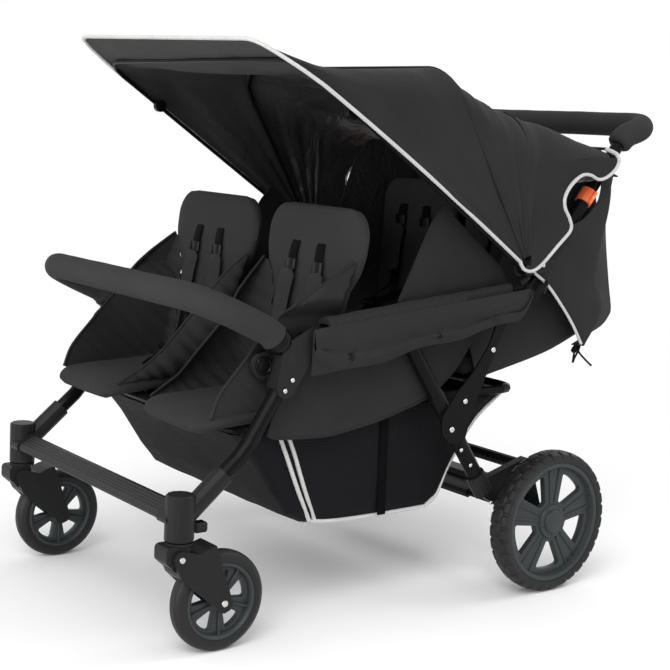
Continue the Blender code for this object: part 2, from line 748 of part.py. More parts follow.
def seat_rail():
    start = along(RAIL_FRONT, RAIL_REAR, -RAIL_OVERHANG)
    end = along(RAIL_REAR, RAIL_FRONT, -RAIL_OVERHANG)
    mesh = tube_mesh([at(SIDE_X, start), at(SIDE_X, end)], TUBE_RADIUS, 12)
    rail = new_object("seat_rail_left", mesh, BLACK_METAL)
    for point in (RAIL_FRONT, RAIL_REAR):
        cut(rail, side_cylinder(point, SIDE_X - 0.03, SIDE_X + 0.03, bore(PIN_RADIUS)))
    inside = SIDE_X - TUBE_RADIUS - GAP
    station = REAR_LEG_TOP[0]
    ends = [(station - 0.015, rail_height(station - 0.015)), (station + 0.018, rail_height(station + 0.018))]
    lug = hull([(*REAR_LEG_TOP, 0.013), (*ends[0], 0.007), (*ends[1], 0.007)])
    fuse(rail, side_prism(lug, inside - CHEEK, inside))
    spacer = hull([(*ends[0], 0.006), (*ends[1], 0.006)])
    fuse(rail, side_prism(spacer, inside - CHEEK / 2, inside + 0.004))
    fuse(rail, side_cylinder(REAR_LEG_TOP, inside - CHEEK / 2, SIDE_X + TUBE_RADIUS - GAP, PIN_RADIUS))


def rear_leg():
    start = along(REAR_LEG_TOP, REAR_LEG_FOOT, -REAR_LEG_OVERHANG)
    mesh = oval_rod(start, REAR_LEG_FOOT, TUBE_RADIUS, REAR_LEG_HALF_DEPTH)
    leg = new_object("rear_leg_left", mesh, BLACK_METAL)
    cut(leg, side_cylinder(REAR_LEG_TOP, SIDE_X - 0.03, SIDE_X + 0.03, bore(PIN_RADIUS)))
    step = 0.0015
    sleeve_start = along(REAR_LEG_TOP, REAR_LEG_FOOT, 0.135)
    sleeve_end = along(REAR_LEG_FOOT, REAR_LEG_TOP, 0.036)
    fuse(leg, oval_rod(sleeve_start, sleeve_end, TUBE_RADIUS - GAP / 2, REAR_LEG_HALF_DEPTH + step))


def wheel_bracket():
    """The moulded foot of the rear leg: leg socket, axle barrel and the eye of the cross tube."""
    hub = (REAR_HUB_STATION, REAR_WHEEL_RADIUS)
    socket_top = along(REAR_LEG_FOOT, REAR_LEG_TOP, 0.034)
    socket_end = along(REAR_LEG_FOOT, REAR_LEG_TOP, -0.014)
    wall = 0.0040
    plate = hull([(*hub, 0.0230), (*REAR_CROSS_TUBE, 0.0185), (*REAR_LEG_FOOT, 0.0175)])
    bracket = new_object("wheel_bracket_left", side_prism(plate, SIDE_X - 0.008, SIDE_X + 0.009), MOULDED)
    pocket_corners = [along(hub, REAR_CROSS_TUBE, 0.046), along(REAR_CROSS_TUBE, REAR_LEG_FOOT, 0.036),
                      along(hub, REAR_LEG_FOOT, 0.090), along(hub, REAR_LEG_FOOT, 0.042)]
    middle = (sum(p[0] for p in pocket_corners) / 4, sum(p[1] for p in pocket_corners) / 4)
    pocket = rounded([along(corner, middle, 0.004) for corner in pocket_corners], [0.006] * 4, closed=True)
    cut(bracket, side_prism(pocket, SIDE_X + 0.003, SIDE_X + 0.020))
    barrel_end = REAR_WHEEL_X - REAR_WHEEL_WIDTH / 2 - 0.0010
    fuse(bracket, side_cylinder(hub, SIDE_X - 0.018, barrel_end, 0.0175))
    fuse(bracket, oval_rod(socket_top, socket_end, TUBE_RADIUS + wall, REAR_LEG_HALF_DEPTH + wall + 0.002))
    seat = along(REAR_LEG_FOOT, REAR_LEG_TOP, -2 * GAP)
    beyond = along(REAR_LEG_FOOT, REAR_LEG_TOP, 0.060)
    cut(bracket, oval_rod(seat, beyond, TUBE_RADIUS + 2 * GAP, REAR_LEG_HALF_DEPTH + 2 * GAP))
    cut(bracket, side_cylinder(hub, SIDE_X - 0.05, SIDE_X + 0.05, bore(AXLE_RADIUS)))
    cut(bracket, side_cylinder(REAR_CROSS_TUBE, SIDE_X - 0.05, SIDE_X + 0.0060, bore(REAR_CROSS_RADIUS)))


def rear_axle_parts():
    hub = (REAR_HUB_STATION, REAR_WHEEL_RADIUS)
    new_object("rear_axle", cylinder_mesh(at(-AXLE_HALF, hub), at(AXLE_HALF, hub), AXLE_RADIUS), BLACK_METAL)
    half = SIDE_X + 0.0060 - 2 * GAP
    tube = cylinder_mesh(at(-half, REAR_CROSS_TUBE), at(half, REAR_CROSS_TUBE), REAR_CROSS_RADIUS)
    new_object("rear_cross_tube", tube, BLACK_METAL)
    tip = (REAR_HUB_STATION + 0.060, REAR_WHEEL_RADIUS + 0.020)
    blade = hull([(*hub, 0.0110), (*tip, 0.0065)])
    pedal = new_object("brake_pedal", prism_mesh([blade], -BRAKE_HALF, BRAKE_HALF), MOULDED)
    corners = [(-0.030, 0.012), (0.012, 0.014), (0.010, -0.004), (-0.030, -0.010)]
    corners = [(tip[0] + back, tip[1] + rise) for back, rise in corners]
    grip = rounded(corners, [0.004] * 4, closed=True)
    fuse(pedal, prism_mesh([grip], -BRAKE_HALF - 0.012, BRAKE_HALF + 0.012))
    cut(pedal, cylinder_mesh(at(-BRAKE_HALF * 2, hub), at(BRAKE_HALF * 2, hub), bore(AXLE_RADIUS)))


# Bars with foam

def u_path(side_points, radii):
    """A path up the left side, across and down the right side."""
    left = [at(SIDE_X, point) for point in side_points]
    right = [at(-SIDE_X, point) for point in reversed(side_points)]
    return rounded(left + right, radii + radii[::-1])


def bumper():
    points = [along(BUMPER_PIVOT, BUMPER_KNEE, -0.0125), BUMPER_KNEE, BUMPER_FRONT]
    radii = [0, 0.08, BUMPER_CORNER]
    bar = new_object("bumper_tube", tube_mesh(u_path(points, radii), BUMPER_TUBE_RADIUS), BLACK_METAL)
    reach = SIDE_X * 1.2
    cut(bar, cylinder_mesh(at(-reach, BUMPER_PIVOT), at(reach, BUMPER_PIVOT), bore(PIN_RADIUS)))
    foam_start = along(BUMPER_PIVOT, BUMPER_KNEE, 0.026)
    path = u_path([foam_start, BUMPER_KNEE, BUMPER_FRONT], [0, 0.05, BUMPER_CORNER])
    foam = new_object("bumper_foam", tube_mesh(path, FOAM_RADIUS), FOAM)
    longer = u_path([BUMPER_PIVOT, BUMPER_KNEE, BUMPER_FRONT], radii)
    cut(foam, tube_mesh(longer, BUMPER_TUBE_RADIUS + 2 * GAP))


def handle_points():
    start = along(RAIL_REAR, HANDLE_KNEE, HANDLE_START)
    return [start, HANDLE_KNEE, HANDLE_TOP]


def handle():
    radii = [0, 0.07, HANDLE_CORNER]
    new_object("handle_tube", tube_mesh(u_path(handle_points(), radii), TUBE_RADIUS), BLACK_METAL)
    grip_start = along(HANDLE_KNEE, RAIL_REAR, 0.040)
    path = u_path([grip_start, HANDLE_KNEE, HANDLE_TOP], radii)
    grip = new_object("handle_grip", tube_mesh(path, FOAM_RADIUS), FOAM)
    longer = u_path([along(HANDLE_KNEE, RAIL_REAR, 0.080), HANDLE_KNEE, HANDLE_TOP], radii)
    cut(grip, tube_mesh(longer, TUBE_RADIUS + 2 * GAP))


def release_slider():
    """The catch that travels on the handle tube, with a finger ridge."""
    start = along(RAIL_REAR, HANDLE_KNEE, SLIDER_ALONG)
    end = along(RAIL_REAR, HANDLE_KNEE, SLIDER_ALONG + 0.030)
    wall = 0.0040
    mesh = oval_rod(start, end, TUBE_RADIUS + wall, TUBE_RADIUS + wall)
    slider = new_object("release_slider_left", mesh, ORANGE)
    ridge = hull([(*along(start, end, 0.004), 0.004), (*along(start, end, 0.026), 0.004)])
    fuse(slider, side_prism(ridge, SIDE_X + TUBE_RADIUS, SIDE_X + TUBE_RADIUS + wall + 0.004))
    below = along(start, end, -0.02)
    above = along(start, end, 0.05)
    cut(slider, oval_rod(below, above, TUBE_RADIUS + 2 * GAP, TUBE_RADIUS + 2 * GAP))


def link_plate():
    """The flat link outside the side frame, from the rear leg past the rail's end to the handle."""
    inside = SIDE_X + TUBE_RADIUS + GAP
    corners = [point for point, radius in LINK_OUTLINE]
    outline = rounded(corners, [radius for point, radius in LINK_OUTLINE], closed=True)
    plate = new_object("link_plate_left", side_prism(outline, inside, inside + LINK_PLATE), BLACK_METAL)
    fuse(plate, side_cylinder(RAIL_REAR, SIDE_X - TUBE_RADIUS + GAP, inside + LINK_PLATE / 2, PIN_RADIUS))


# Hood

def bow(name, x, angle, reach, corner, knob):
    end = polar(HOOD_PIVOT, angle, reach)
    start = polar(HOOD_PIVOT, angle, 0.004)
    points = [at(x, start), at(x, end), at(-x, end), at(-x, start)]
    made = new_object(name, tube_mesh(rounded(points, [0, corner, corner, 0]), BOW_RADIUS, 6), BLACK_METAL)
    fuse(made, with_image(side_cylinder(HOOD_PIVOT, x - BOW_EYE / 2, x + BOW_EYE / 2, BOW_EYE_RADIUS)))
    if knob:
        place = polar(HOOD_PIVOT, angle, knob)
        fuse(made, with_image(side_cylinder(place, x - 0.0120, x - 0.0010, 0.0130)))
    cut(made, cylinder_mesh(at(-x * 1.2, HOOD_PIVOT), at(x * 1.2, HOOD_PIVOT), bore(PIN_RADIUS)))


def front_bow_x():
    return SIDE_X + TUBE_RADIUS + GAP + LINK_PLATE + GAP + CLAMP_THICKNESS + GAP + BOW_EYE / 2


def mid_bow_x():
    return front_bow_x() + BOW_EYE + GAP


def hood_clamp():
    inside = SIDE_X + TUBE_RADIUS + GAP + LINK_PLATE + GAP
    outline = hull([(*HOOD_PIVOT, 0.0170), (*CLAMP_HEAD, 0.0120)])
    clamp = new_object("hood_clamp_left", side_prism(outline, inside, inside + CLAMP_THICKNESS), MOULDED)
    pin_end = mid_bow_x() + BOW_EYE / 2 + 0.0010
    fuse(clamp, side_cylinder(HOOD_PIVOT, inside + CLAMP_THICKNESS / 2, pin_end, PIN_RADIUS))
    fuse(clamp, side_cylinder(HOOD_PIVOT, pin_end - GAP, pin_end + 0.0022, 0.0095))


def canopy_half_width():
    return mid_bow_x() + BOW_RADIUS + CANOPY_CLEARANCE


def canopy_section(roof, corner, crown, sink):
    """One fan line of the canopy: up the left side, over and down the right side."""
    wide = canopy_half_width()
    angle = atan2(roof[1] - HOOD_PIVOT[1], roof[0] - HOOD_PIVOT[0])
    reach = hypot(roof[1] - HOOD_PIVOT[1], roof[0] - HOOD_PIVOT[0])
    inner = 0.030
    half = []
    for share in (0, 0.34, 0.68):
        radius = inner + (reach - corner - inner) * share
        half.append((wide - sink * sin(pi * share), radius))
    for step in range(4):
        turn = pi / 2 * step / 3
        half.append((wide - corner * (1 - cos(turn)), reach - corner * (1 - sin(turn))))
    for share in (0.62, 0.28):
        half.append(((wide - corner) * share, reach + crown * (1 - share)))
    full = half + [(0, reach + crown)] + [(-x, radius) for x, radius in reversed(half)]
    return [at(x, polar(HOOD_PIVOT, angle, radius)) for x, radius in full]


def canopy():
    """One sheet over both bows, taut at the bows and slack between them, back to the handle."""
    lift = BOW_RADIUS + CANOPY_CLEARANCE + 0.0010
    bow_top = polar(HOOD_PIVOT, FRONT_BOW_ANGLE, FRONT_BOW_REACH)
    front = (bow_top[0] - 0.012, bow_top[1] + lift)
    first = (bow_top[0] + 0.006, bow_top[1] + lift)
    bow_top = polar(HOOD_PIVOT, MID_BOW_ANGLE, MID_BOW_REACH)
    middle = (bow_top[0], bow_top[1] + lift)
    slack = 0.007
    rows = [(front, 0.042, 0, 0), (first, 0.042, 0, 0)]
    for share in (0.3, 0.65):
        roof = (first[0] + (middle[0] - first[0]) * share, first[1] + (middle[1] - first[1]) * share - slack)
        rows.append((roof, 0.042 + 0.02 * share, -0.004, 0.003))
    rows += [((middle[0] - 0.010, middle[1]), 0.062, 0, 0),
             ((middle[0] + 0.012, middle[1] - 0.002), 0.062, 0, 0),
             ((0.480, 1.0000), 0.075, 0.002, 0.002), ((0.530, 0.9800), 0.080, 0.004, 0),
             ((0.630, 0.9530), 0.078, 0.004, 0), ((0.717, 0.9330), 0.070, 0, 0.003),
             ((0.800, 0.9120), 0.060, -0.003, 0.003), ((0.894, 0.8860), 0.050, 0, 0)]
    work = bmesh.new()
    grid = [[work.verts.new(point) for point in canopy_section(*row)] for row in rows]
    for row, following in zip(grid, grid[1:]):
        for index in range(len(row) - 1):
            work.faces.new((row[index], following[index], following[index + 1], row[index + 1]))
    mesh = bpy.data.meshes.new("hood_canopy")
    work.to_mesh(mesh)
    work.free()
    sheet = new_object("hood_canopy", mesh, CLOTH)
    solid = sheet.modifiers.new("cloth", "SOLIDIFY")
    solid.thickness = CANOPY_THICKNESS
    solid.offset = 1.0


# Seat frame

def base_height(station):
    slope = (BASE_REAR[1] - BASE_FRONT[1]) / (BASE_REAR[0] - BASE_FRONT[0])
    return BASE_FRONT[1] + slope * (station - BASE_FRONT[0])


def base_tube_path():
    rail_under = rail_height(BASE_REAR[0]) - TUBE_RADIUS - BASE_RADIUS * rail_slope() - 2 * GAP
    riser = BASE_REAR[0]
    half = [at(SIDE_X, (riser, rail_under)), at(SIDE_X, (riser, rail_under - 0.022)),
            at(BASE_X, (riser, rail_under - 0.060)), at(BASE_X, BASE_REAR), at(BASE_X, BASE_FRONT)]
    other = [Vector((-point.x, point.y, point.z)) for point in reversed(half)]
    radii = [0, 0.015, 0.020, 0.035, BASE_CORNER]
    return rounded(half + other, radii + radii[::-1])


def seat_base_tube():
    """One tube from under the left rail, down, forward, across the front and back to the right rail."""
    tube = new_object("seat_base_tube", tube_mesh(base_tube_path(), BASE_RADIUS), BLACK_METAL)
    top = (0.225, rail_height(0.225))
    foot = (0.150, base_height(0.150))
    strip = hull([(*top, 0.0095), (*foot, 0.0080)], steps=8)
    fuse(tube, with_image(side_prism(strip, BASE_X + 0.0060, BASE_X + 0.0118)))
    fuse(tube, with_image(side_cylinder(top, BASE_X + 0.0080, SIDE_X - TUBE_RADIUS - GAP, 0.0085)))


def seat_cross_tubes():
    half = BASE_X - BASE_RADIUS - GAP
    middle = (MIDDLE_CROSS_STATION, base_height(MIDDLE_CROSS_STATION))
    rear = (BASE_REAR[0], REAR_CROSS_HEIGHT)
    for name, point in (("seat_cross_tube_middle", middle), ("seat_cross_tube_rear", rear)):
        new_object(name, tube_mesh([at(-half, point), at(half, point)], BASE_RADIUS), BLACK_METAL)


def basket_bar():
    """The bar round the back of the basket, its ends coped to the elbows of the base tube."""
    start = BASE_REAR[0] - BASE_RADIUS
    points = [at(BASE_X, (start, BASE_REAR[1])), at(BASE_X, (BASKET_BAR_REAR, BASE_REAR[1])),
              at(-BASE_X, (BASKET_BAR_REAR, BASE_REAR[1])), at(-BASE_X, (start, BASE_REAR[1]))]
    path = rounded(points, [0, BASKET_BAR_CORNER, BASKET_BAR_CORNER, 0])
    bar = new_object("basket_bar", tube_mesh(path, BASE_RADIUS), BLACK_METAL)
    cut(bar, tube_mesh(base_tube_path(), BASE_RADIUS + 2 * GAP))


def basket():
    """The net basket between the base tubes, open at the top."""
    half = BASE_X - BASE_RADIUS - GAP
    front_top = BASE_FRONT[0] + BASE_RADIUS + 3 * GAP
    rear_top = BASKET_BAR_REAR - BASE_RADIUS - 3 * GAP
    under = [(front_top, BASKET_FRONT_TOP)] + BASKET_UNDER + [(rear_top, BASKET_REAR_TOP)]
    outer = new_object("basket", prism_mesh([under + BASKET_RIM], -half, half), NET)
    lining = offset_path(under, BASKET_WALL)
    beyond = [(rear_top + 0.05, 0.50), (front_top - 0.05, 0.50)]
    start = (lining[0][0] - 0.02, lining[0][1] + 0.05)
    end = (lining[-1][0] + 0.03, lining[-1][1] + 0.04)
    inner = [start] + lining[1:-1] + [end] + beyond
    cut(outer, prism_mesh([inner], -half + BASKET_WALL, half - BASKET_WALL))


def side_panel():
    """The cloth over the rail: a padded flap outside, a roof over the rail and a skirt inside.

    A slit along the rear of the roof lets the link plate rise as the frame folds.
    """
    rings = []
    count = 11
    for index in range(count):
        station = FLAP_FRONT + (FLAP_REAR - FLAP_FRONT) * index / (count - 1)
        rings.append(flap_section(station, index))
    panel = new_object("side_panel_left", loft_mesh(rings), CLOTH)
    apron = [(0.166, 0.5100), (0.200, 0.4990), (0.260, 0.4960), (0.260, rail_height(0.260) + 0.014),
             (0.200, rail_height(0.200) + 0.020), (0.172, rail_height(0.172) + 0.010)]
    fuse(panel, side_prism(apron, FLAP_INNER_X + 0.0006, FLAP_INNER_X + 0.0056))
    fuse(panel, side_prism(SKIRT_OUTLINE, SKIRT_INNER_X, SKIRT_OUTER_X))
    low = rail_height(LINK_SLIT) - 0.120
    high = rail_height(FLAP_REAR) + 0.060
    beyond = FLAP_REAR + 0.010
    slit = [(LINK_SLIT, low), (beyond, low), (beyond, high), (LINK_SLIT, high)]
    cut(panel, side_prism(slit, SIDE_X + TUBE_RADIUS - GAP, FLAP_INNER_X + 0.0004))


def flap_section(station, index):
    """A cross-section of the flap at a station, seen from behind, outer edge first."""
    rail = rail_height(station)
    share = (station - FLAP_FRONT) / (FLAP_REAR - FLAP_FRONT)
    edge = FLAP_LOW_FRONT + (FLAP_LOW_REAR - FLAP_LOW_FRONT) * share
    pucker = 0.0022 * sin(2.1 * index)
    bulge = 0.0035 + 0.0015 * sin(1.3 * index + 1)
    lift = 0.0045 * (1 - station) ** 2
    outer = [(FLAP_INNER_X + 0.0040, edge), (FLAP_INNER_X + 0.0062 + bulge, edge + 0.018),
             (FLAP_INNER_X + 0.0052 + pucker, (edge + rail) / 2), (FLAP_INNER_X + 0.0064 + bulge, rail),
             (FLAP_INNER_X + 0.0040, rail + 0.0160 + lift), (SIDE_X + 0.008, rail + 0.0275 + lift),
             (SIDE_X - 0.009, rail + 0.0270 + lift), (SKIRT_INNER_X - 0.0002, rail + 0.0150 + lift),
             (SKIRT_INNER_X - 0.0016, rail), (SKIRT_INNER_X + 0.0002, rail - 0.0200)]
    inner = [(SKIRT_OUTER_X - 0.0002, rail - 0.0200), (SKIRT_OUTER_X - 0.0002, rail + 0.0100),
             (SIDE_X - 0.011, rail + 0.0180), (SIDE_X + 0.010, rail + 0.0185), (FLAP_INNER_X, rail + 0.0130),
             (FLAP_INNER_X, (edge + rail) / 2), (FLAP_INNER_X, edge)]
    return [at(x, (station, height)) for x, height in outer + inner]


# Cushions

def cushion(name, centre_x, spine, halves, thickness, channel):
    """A padded sheet along a side-plane spine, with a sewn channel down its middle, as a subdivided cage."""
    rings = []
    for index, point in enumerate(spine):
        before = Vector(spine[max(index - 1, 0)])
        after = Vector(spine[min(index + 1, len(spine) - 1)])
        heading = (after - before).normalized()
        normal = Vector((-heading.y, heading.x))
        half = halves[index]
        ends = index in (0, len(spine) - 1)
        deep = thickness * (0.36 if ends else 0.5)
        side_deep = thickness * 0.22
        ring = []
        for across, rise in ((-0.62, deep), (0, deep - channel), (0.62, deep), (1, side_deep),
                             (1, -side_deep), (0.62, -deep), (-0.62, -deep), (-1, -side_deep),
                             (-1, side_deep)):
            spot = Vector(point) + normal * rise
            ring.append(at(centre_x + across * half, tuple(spot)))
        rings.append(ring)
    pad = new_object(name, loft_mesh(rings), CLOTH)
    smooth = pad.modifiers.new("soft", "SUBSURF")
    smooth.levels = 1
    smooth.render_levels = 1


def front_seat():
    lift = BASE_RADIUS + GAP + FRONT_PAN_THICKNESS / 2
    stations = (0.045, 0.115, FRONT_PAN_REAR - 0.020, FRONT_PAN_REAR)
    flat = [(station, base_height(station) + lift) for station in stations]
    lip = [(-0.0330, 0.3560), (-0.0300, 0.3780), (-0.0080, 0.3930)]
    halves = [FRONT_PAN_LIP_HALF * 0.93, FRONT_PAN_LIP_HALF, FRONT_PAN_LIP_HALF, FRONT_PAN_LIP_HALF - 0.004,
              FRONT_PAN_HALF, FRONT_PAN_HALF, FRONT_PAN_HALF]
    cushion("seat_pan_front_left", SEAT_X, lip + flat, halves, FRONT_PAN_THICKNESS, 0.004)
    pivot = front_back_pivot()
    seat_back("seat_back_front_left", SEAT_X, pivot, FRONT_BACK_LEAN, FRONT_BACK_HEIGHT, BACK_LOW_HALF,
              BACK_HIGH_HALF, 0.56)


def front_back_pivot():
    top = base_height(FRONT_BACK_STATION) + BASE_RADIUS + GAP + FRONT_PAN_THICKNESS
    return (FRONT_BACK_STATION, top + BACK_THICKNESS / 2 + 2 * GAP - FRONT_BACK_NESTLE)


def seat_back(name, centre_x, pivot, lean, height, low_half, high_half, waist):
    """A seat back whose lower end turns on its axis, wider above the waist and round at the head."""
    shares = (-0.5 * BACK_THICKNESS / height, 0.02, waist, waist + 0.12, 0.86, 0.965, 1.0)
    halves = [low_half * 0.98, low_half, low_half + 0.002]
    halves += [high_half, high_half, high_half * 0.82, high_half * 0.60]
    spine = [polar(pivot, pi / 2 - lean, height * share) for share in shares]
    cushion(name, centre_x, spine, halves, BACK_THICKNESS, 0.004)


def body_floor(station):
    """Height of the rear body's floor, inside, at a station."""
    slope = (BODY_FLOOR_REAR[1] - BODY_FLOOR_FRONT[1]) / (BODY_FLOOR_REAR[0] - BODY_FLOOR_FRONT[0])
    return BODY_FLOOR_FRONT[1] + slope * (station - BODY_FLOOR_FRONT[0]) + BODY_WALL * hypot(1, slope)


def rear_seat():
    lift = GAP * 3 + REAR_PAN_THICKNESS / 2
    stations = (REAR_PAN_FRONT, REAR_PAN_FRONT + 0.025, 0.680, REAR_PAN_REAR - 0.020, REAR_PAN_REAR)
    spine = [(station, body_floor(station) + lift) for station in stations]
    halves = [REAR_PAN_HALF * 0.93] + [REAR_PAN_HALF] * 4
    cushion("seat_pan_rear_left", REAR_SEAT_X, spine, halves, REAR_PAN_THICKNESS, 0.005)
    seat_back("seat_back_rear_left", REAR_SEAT_X, rear_back_pivot(), REAR_BACK_LEAN, REAR_BACK_HEIGHT,
              REAR_BACK_HALF - 0.004, REAR_BACK_HALF, 0.50)


def rear_back_pivot():
    top = body_floor(REAR_BACK_STATION) + REAR_PAN_THICKNESS
    return (REAR_BACK_STATION, top + BACK_THICKNESS / 2 + 4 * GAP - REAR_BACK_NESTLE)


def rear_body():
    """The cloth tub behind: floor, rear wall and side walls, open towards the front and the top."""
    under = [BODY_FLOOR_FRONT, BODY_FLOOR_REAR, (0.9480, 0.5240), (0.9720, 0.5560), (0.9440, 0.6830),
             (0.9220, 0.7970), (0.9030, 0.8720)]
    front_edge = [(0.8800, 0.8600), (0.6400, 0.5600), (0.6000, 0.5000)]
    body = new_object("rear_body", prism_mesh([under + front_edge], -BODY_HALF, BODY_HALF), CLOTH)
    lining = offset_path(under, BODY_WALL)
    floor_ahead = along(lining[0], lining[1], -0.05)
    above = along(lining[-1], lining[-2], -0.05)
    inner = [floor_ahead] + lining[1:-1] + [above, (0.70, 0.95), (0.50, 0.60)]
    cut(body, prism_mesh([inner], -BODY_HALF + BODY_WALL, BODY_HALF - BODY_WALL))
    hem = hull([(*along(RAIL_REAR, HANDLE_KNEE, reach), BODY_HEM_HALF) for reach in BODY_HEM])
    fuse(body, with_image(side_prism(hem, BODY_HALF - BODY_WALL / 2, SIDE_X - TUBE_RADIUS - 2 * GAP)))


def add_right_side():
    """The right-hand pieces, as mirror images of the finished left-hand ones."""
    bpy.context.view_layer.update()
    depsgraph = bpy.context.evaluated_depsgraph_get()
    for thing in [part for part in PARTS.objects if part.name.endswith("_left")]:
        mesh = bpy.data.meshes.new_from_object(thing.evaluated_get(depsgraph))
        mesh.transform(thing.matrix_world)
        image = mirrored(mesh)
        bpy.data.meshes.remove(mesh)
        name = thing.name.replace("_left", "_right")
        copy = bpy.data.objects.new(name, image)
        PARTS.objects.link(copy)
        image.materials.clear()
        look = thing.data.materials[0].copy()
        look.name = name
        image.materials.append(look)


# Moving bodies: the name of each empty, the point on its axis and what it carries

def carry(name, place, children):
    empty = bpy.data.objects.new(name, None)
    empty.empty_display_size = 0.05
    empty.location = place
    PARTS.objects.link(empty)
    for child in children:
        thing = bpy.data.objects[child]
        thing.parent = empty
        thing.matrix_parent_inverse = Matrix.Translation(place).inverted()


def both(*names):
    return [f"{name}_{word}" for name in names for word in SIDES]


def carry_all():
    carry("front_legs_axis", at(0, RAIL_FRONT),
          both("front_leg", "leg_bracket", "caster_housing") + ["front_crossbar"])
    carry("rear_legs_axis", at(0, REAR_LEG_TOP),
          both("rear_leg", "wheel_bracket") + ["rear_cross_tube", "rear_axle"])
    carry("handle_axis", at(0, RAIL_REAR), both("link_plate", "hood_clamp", "seat_pan_rear")
          + ["handle_tube", "handle_grip", "rear_body", "hood_canopy"])
    carry("bumper_axis", at(0, BUMPER_PIVOT), ["bumper_tube", "bumper_foam"])
    carry("brake_axis", at(0, (REAR_HUB_STATION, REAR_WHEEL_RADIUS)), ["brake_pedal"])
    carry("hood_front_axis", at(0, HOOD_PIVOT), ["hood_front_bow"])
    carry("hood_mid_axis", at(0, HOOD_PIVOT), ["hood_mid_bow"])
    rear_hub = (REAR_HUB_STATION, REAR_WHEEL_RADIUS)
    for word, side in SIDES.items():
        for name, x, point, children in (
                ("caster", SIDE_X, (CASTER_STATION, HOUSING_BOTTOM), ["caster_yoke"]),
                ("fork", SIDE_X, FORK_PIVOT, ["front_fork"]),
                ("front_wheel", SIDE_X, (0, FRONT_WHEEL_RADIUS), ["front_tyre", "front_rim"]),
                ("rear_wheel", REAR_WHEEL_X, rear_hub, ["rear_tyre", "rear_rim"]),
                ("swivel_lock", SIDE_X, (CASTER_STATION + HOUSING_RADIUS, LOCK_BOTTOM), ["swivel_lock"]),
                ("release_slider", SIDE_X, along(RAIL_REAR, HANDLE_KNEE, SLIDER_ALONG), ["release_slider"]),
                ("front_back", SEAT_X, front_back_pivot(), ["seat_back_front"]),
                ("rear_back", REAR_SEAT_X, rear_back_pivot(), ["seat_back_rear"])):
            carry(f"{name}_axis_{word}", at(side * x, point), [f"{child}_{word}" for child in children])


def build():
    front_wheel()
    rear_wheel()
    caster_housing()
    front_leg()
    caster_yoke()
    front_fork()
    swivel_lock()
    leg_bracket()
    seat_rail()
    rear_leg()
    wheel_bracket()
    release_slider()
    link_plate()
    hood_clamp()
    side_panel()
    front_seat()
    rear_seat()
    add_right_side()
    front_crossbar()
    rear_axle_parts()
    bumper()
    handle()
    bow("hood_front_bow", front_bow_x(), FRONT_BOW_ANGLE, FRONT_BOW_REACH, FRONT_BOW_CORNER, 0.515)
    bow("hood_mid_bow", mid_bow_x(), MID_BOW_ANGLE, MID_BOW_REACH, MID_BOW_CORNER, 0)
    canopy()
    seat_base_tube()
    seat_cross_tubes()
    basket_bar()
    basket()
    rear_body()
    carry_all()


build()
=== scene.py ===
"""Looks of the quadruple stroller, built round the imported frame.

Metres, in the frame of the CAD part: +Z up, the front towards -Y, the stroller's left side at +X. Stations are
measured rearward from the front axle.
"""

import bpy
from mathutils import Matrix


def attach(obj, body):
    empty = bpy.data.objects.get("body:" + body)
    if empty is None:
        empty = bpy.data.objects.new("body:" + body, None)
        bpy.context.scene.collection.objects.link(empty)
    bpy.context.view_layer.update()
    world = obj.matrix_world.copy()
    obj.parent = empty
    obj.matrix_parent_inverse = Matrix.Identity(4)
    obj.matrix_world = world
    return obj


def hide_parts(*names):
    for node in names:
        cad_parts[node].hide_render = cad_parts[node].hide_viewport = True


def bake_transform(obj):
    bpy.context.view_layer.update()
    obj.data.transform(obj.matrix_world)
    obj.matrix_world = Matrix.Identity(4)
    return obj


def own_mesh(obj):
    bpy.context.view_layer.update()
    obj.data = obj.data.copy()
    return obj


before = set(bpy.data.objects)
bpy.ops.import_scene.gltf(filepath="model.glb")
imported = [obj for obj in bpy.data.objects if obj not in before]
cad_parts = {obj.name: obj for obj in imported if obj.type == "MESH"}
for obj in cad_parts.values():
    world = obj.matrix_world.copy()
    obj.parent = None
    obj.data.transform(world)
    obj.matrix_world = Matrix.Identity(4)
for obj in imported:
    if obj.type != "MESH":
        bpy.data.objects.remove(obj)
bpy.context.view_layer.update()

from math import asin, atan2, cos, exp, hypot, pi, radians, sin, sqrt, tan

import bmesh
import bpy
import numpy as np
from mathutils import Matrix, Vector, noise

AXLE = -0.470375
SIDE = 0.310
RAIL_FRONT = (0.170, 0.540)
RAIL_REAR = (0.699, 0.600)
HOOD_PIVOT = (0.660, 0.655)
KNEE = (0.950, 0.920)
TOP = (1.0325, 0.945)
BUMPER_PIVOT = (0.125, 0.522)
BUMPER_KNEE = (0.085, 0.5555)
BUMPER_FRONT = (-0.038, 0.612)
CANOPY_X = 0.3512
SIDES = (("left", 1), ("right", -1))
ACROSS = (1, 0, 0)


def both_sides(maker):
    for side, sign in SIDES:
        maker(side, sign)


# Points and paths

def at(x, point):
    return Vector((x, AXLE + point[0], point[1]))


def polar(centre, angle, reach):
    return (centre[0] + reach * cos(angle), centre[1] + reach * sin(angle))


def along(start, end, distance):
    share = distance / hypot(end[0] - start[0], end[1] - start[1])
    return (start[0] + (end[0] - start[0]) * share, start[1] + (end[1] - start[1]) * share)


def rail(station):
    return RAIL_FRONT[1] + (station - RAIL_FRONT[0]) * 0.060 / 0.529


def curve(points, per=6, closed=False):
    """A smooth path through the points."""
    points = [Vector(point) for point in points]
    count = len(points)
    path = []
    for index in range(count if closed else count - 1):
        first = points[index]
        second = points[(index + 1) % count]
        before = points[index - 1] if closed or index > 0 else first * 2 - second
        after = points[(index + 2) % count] if closed or index < count - 2 else second * 2 - first
        for step in range(per):
            t = step / per
            path.append(0.5 * ((2 * first) + (second - before) * t + (2 * before - 5 * first + 4 * second - after)
                               * t * t + (3 * first - before - 3 * second + after) * t ** 3))
    if not closed:
        path.append(points[-1])
    return path


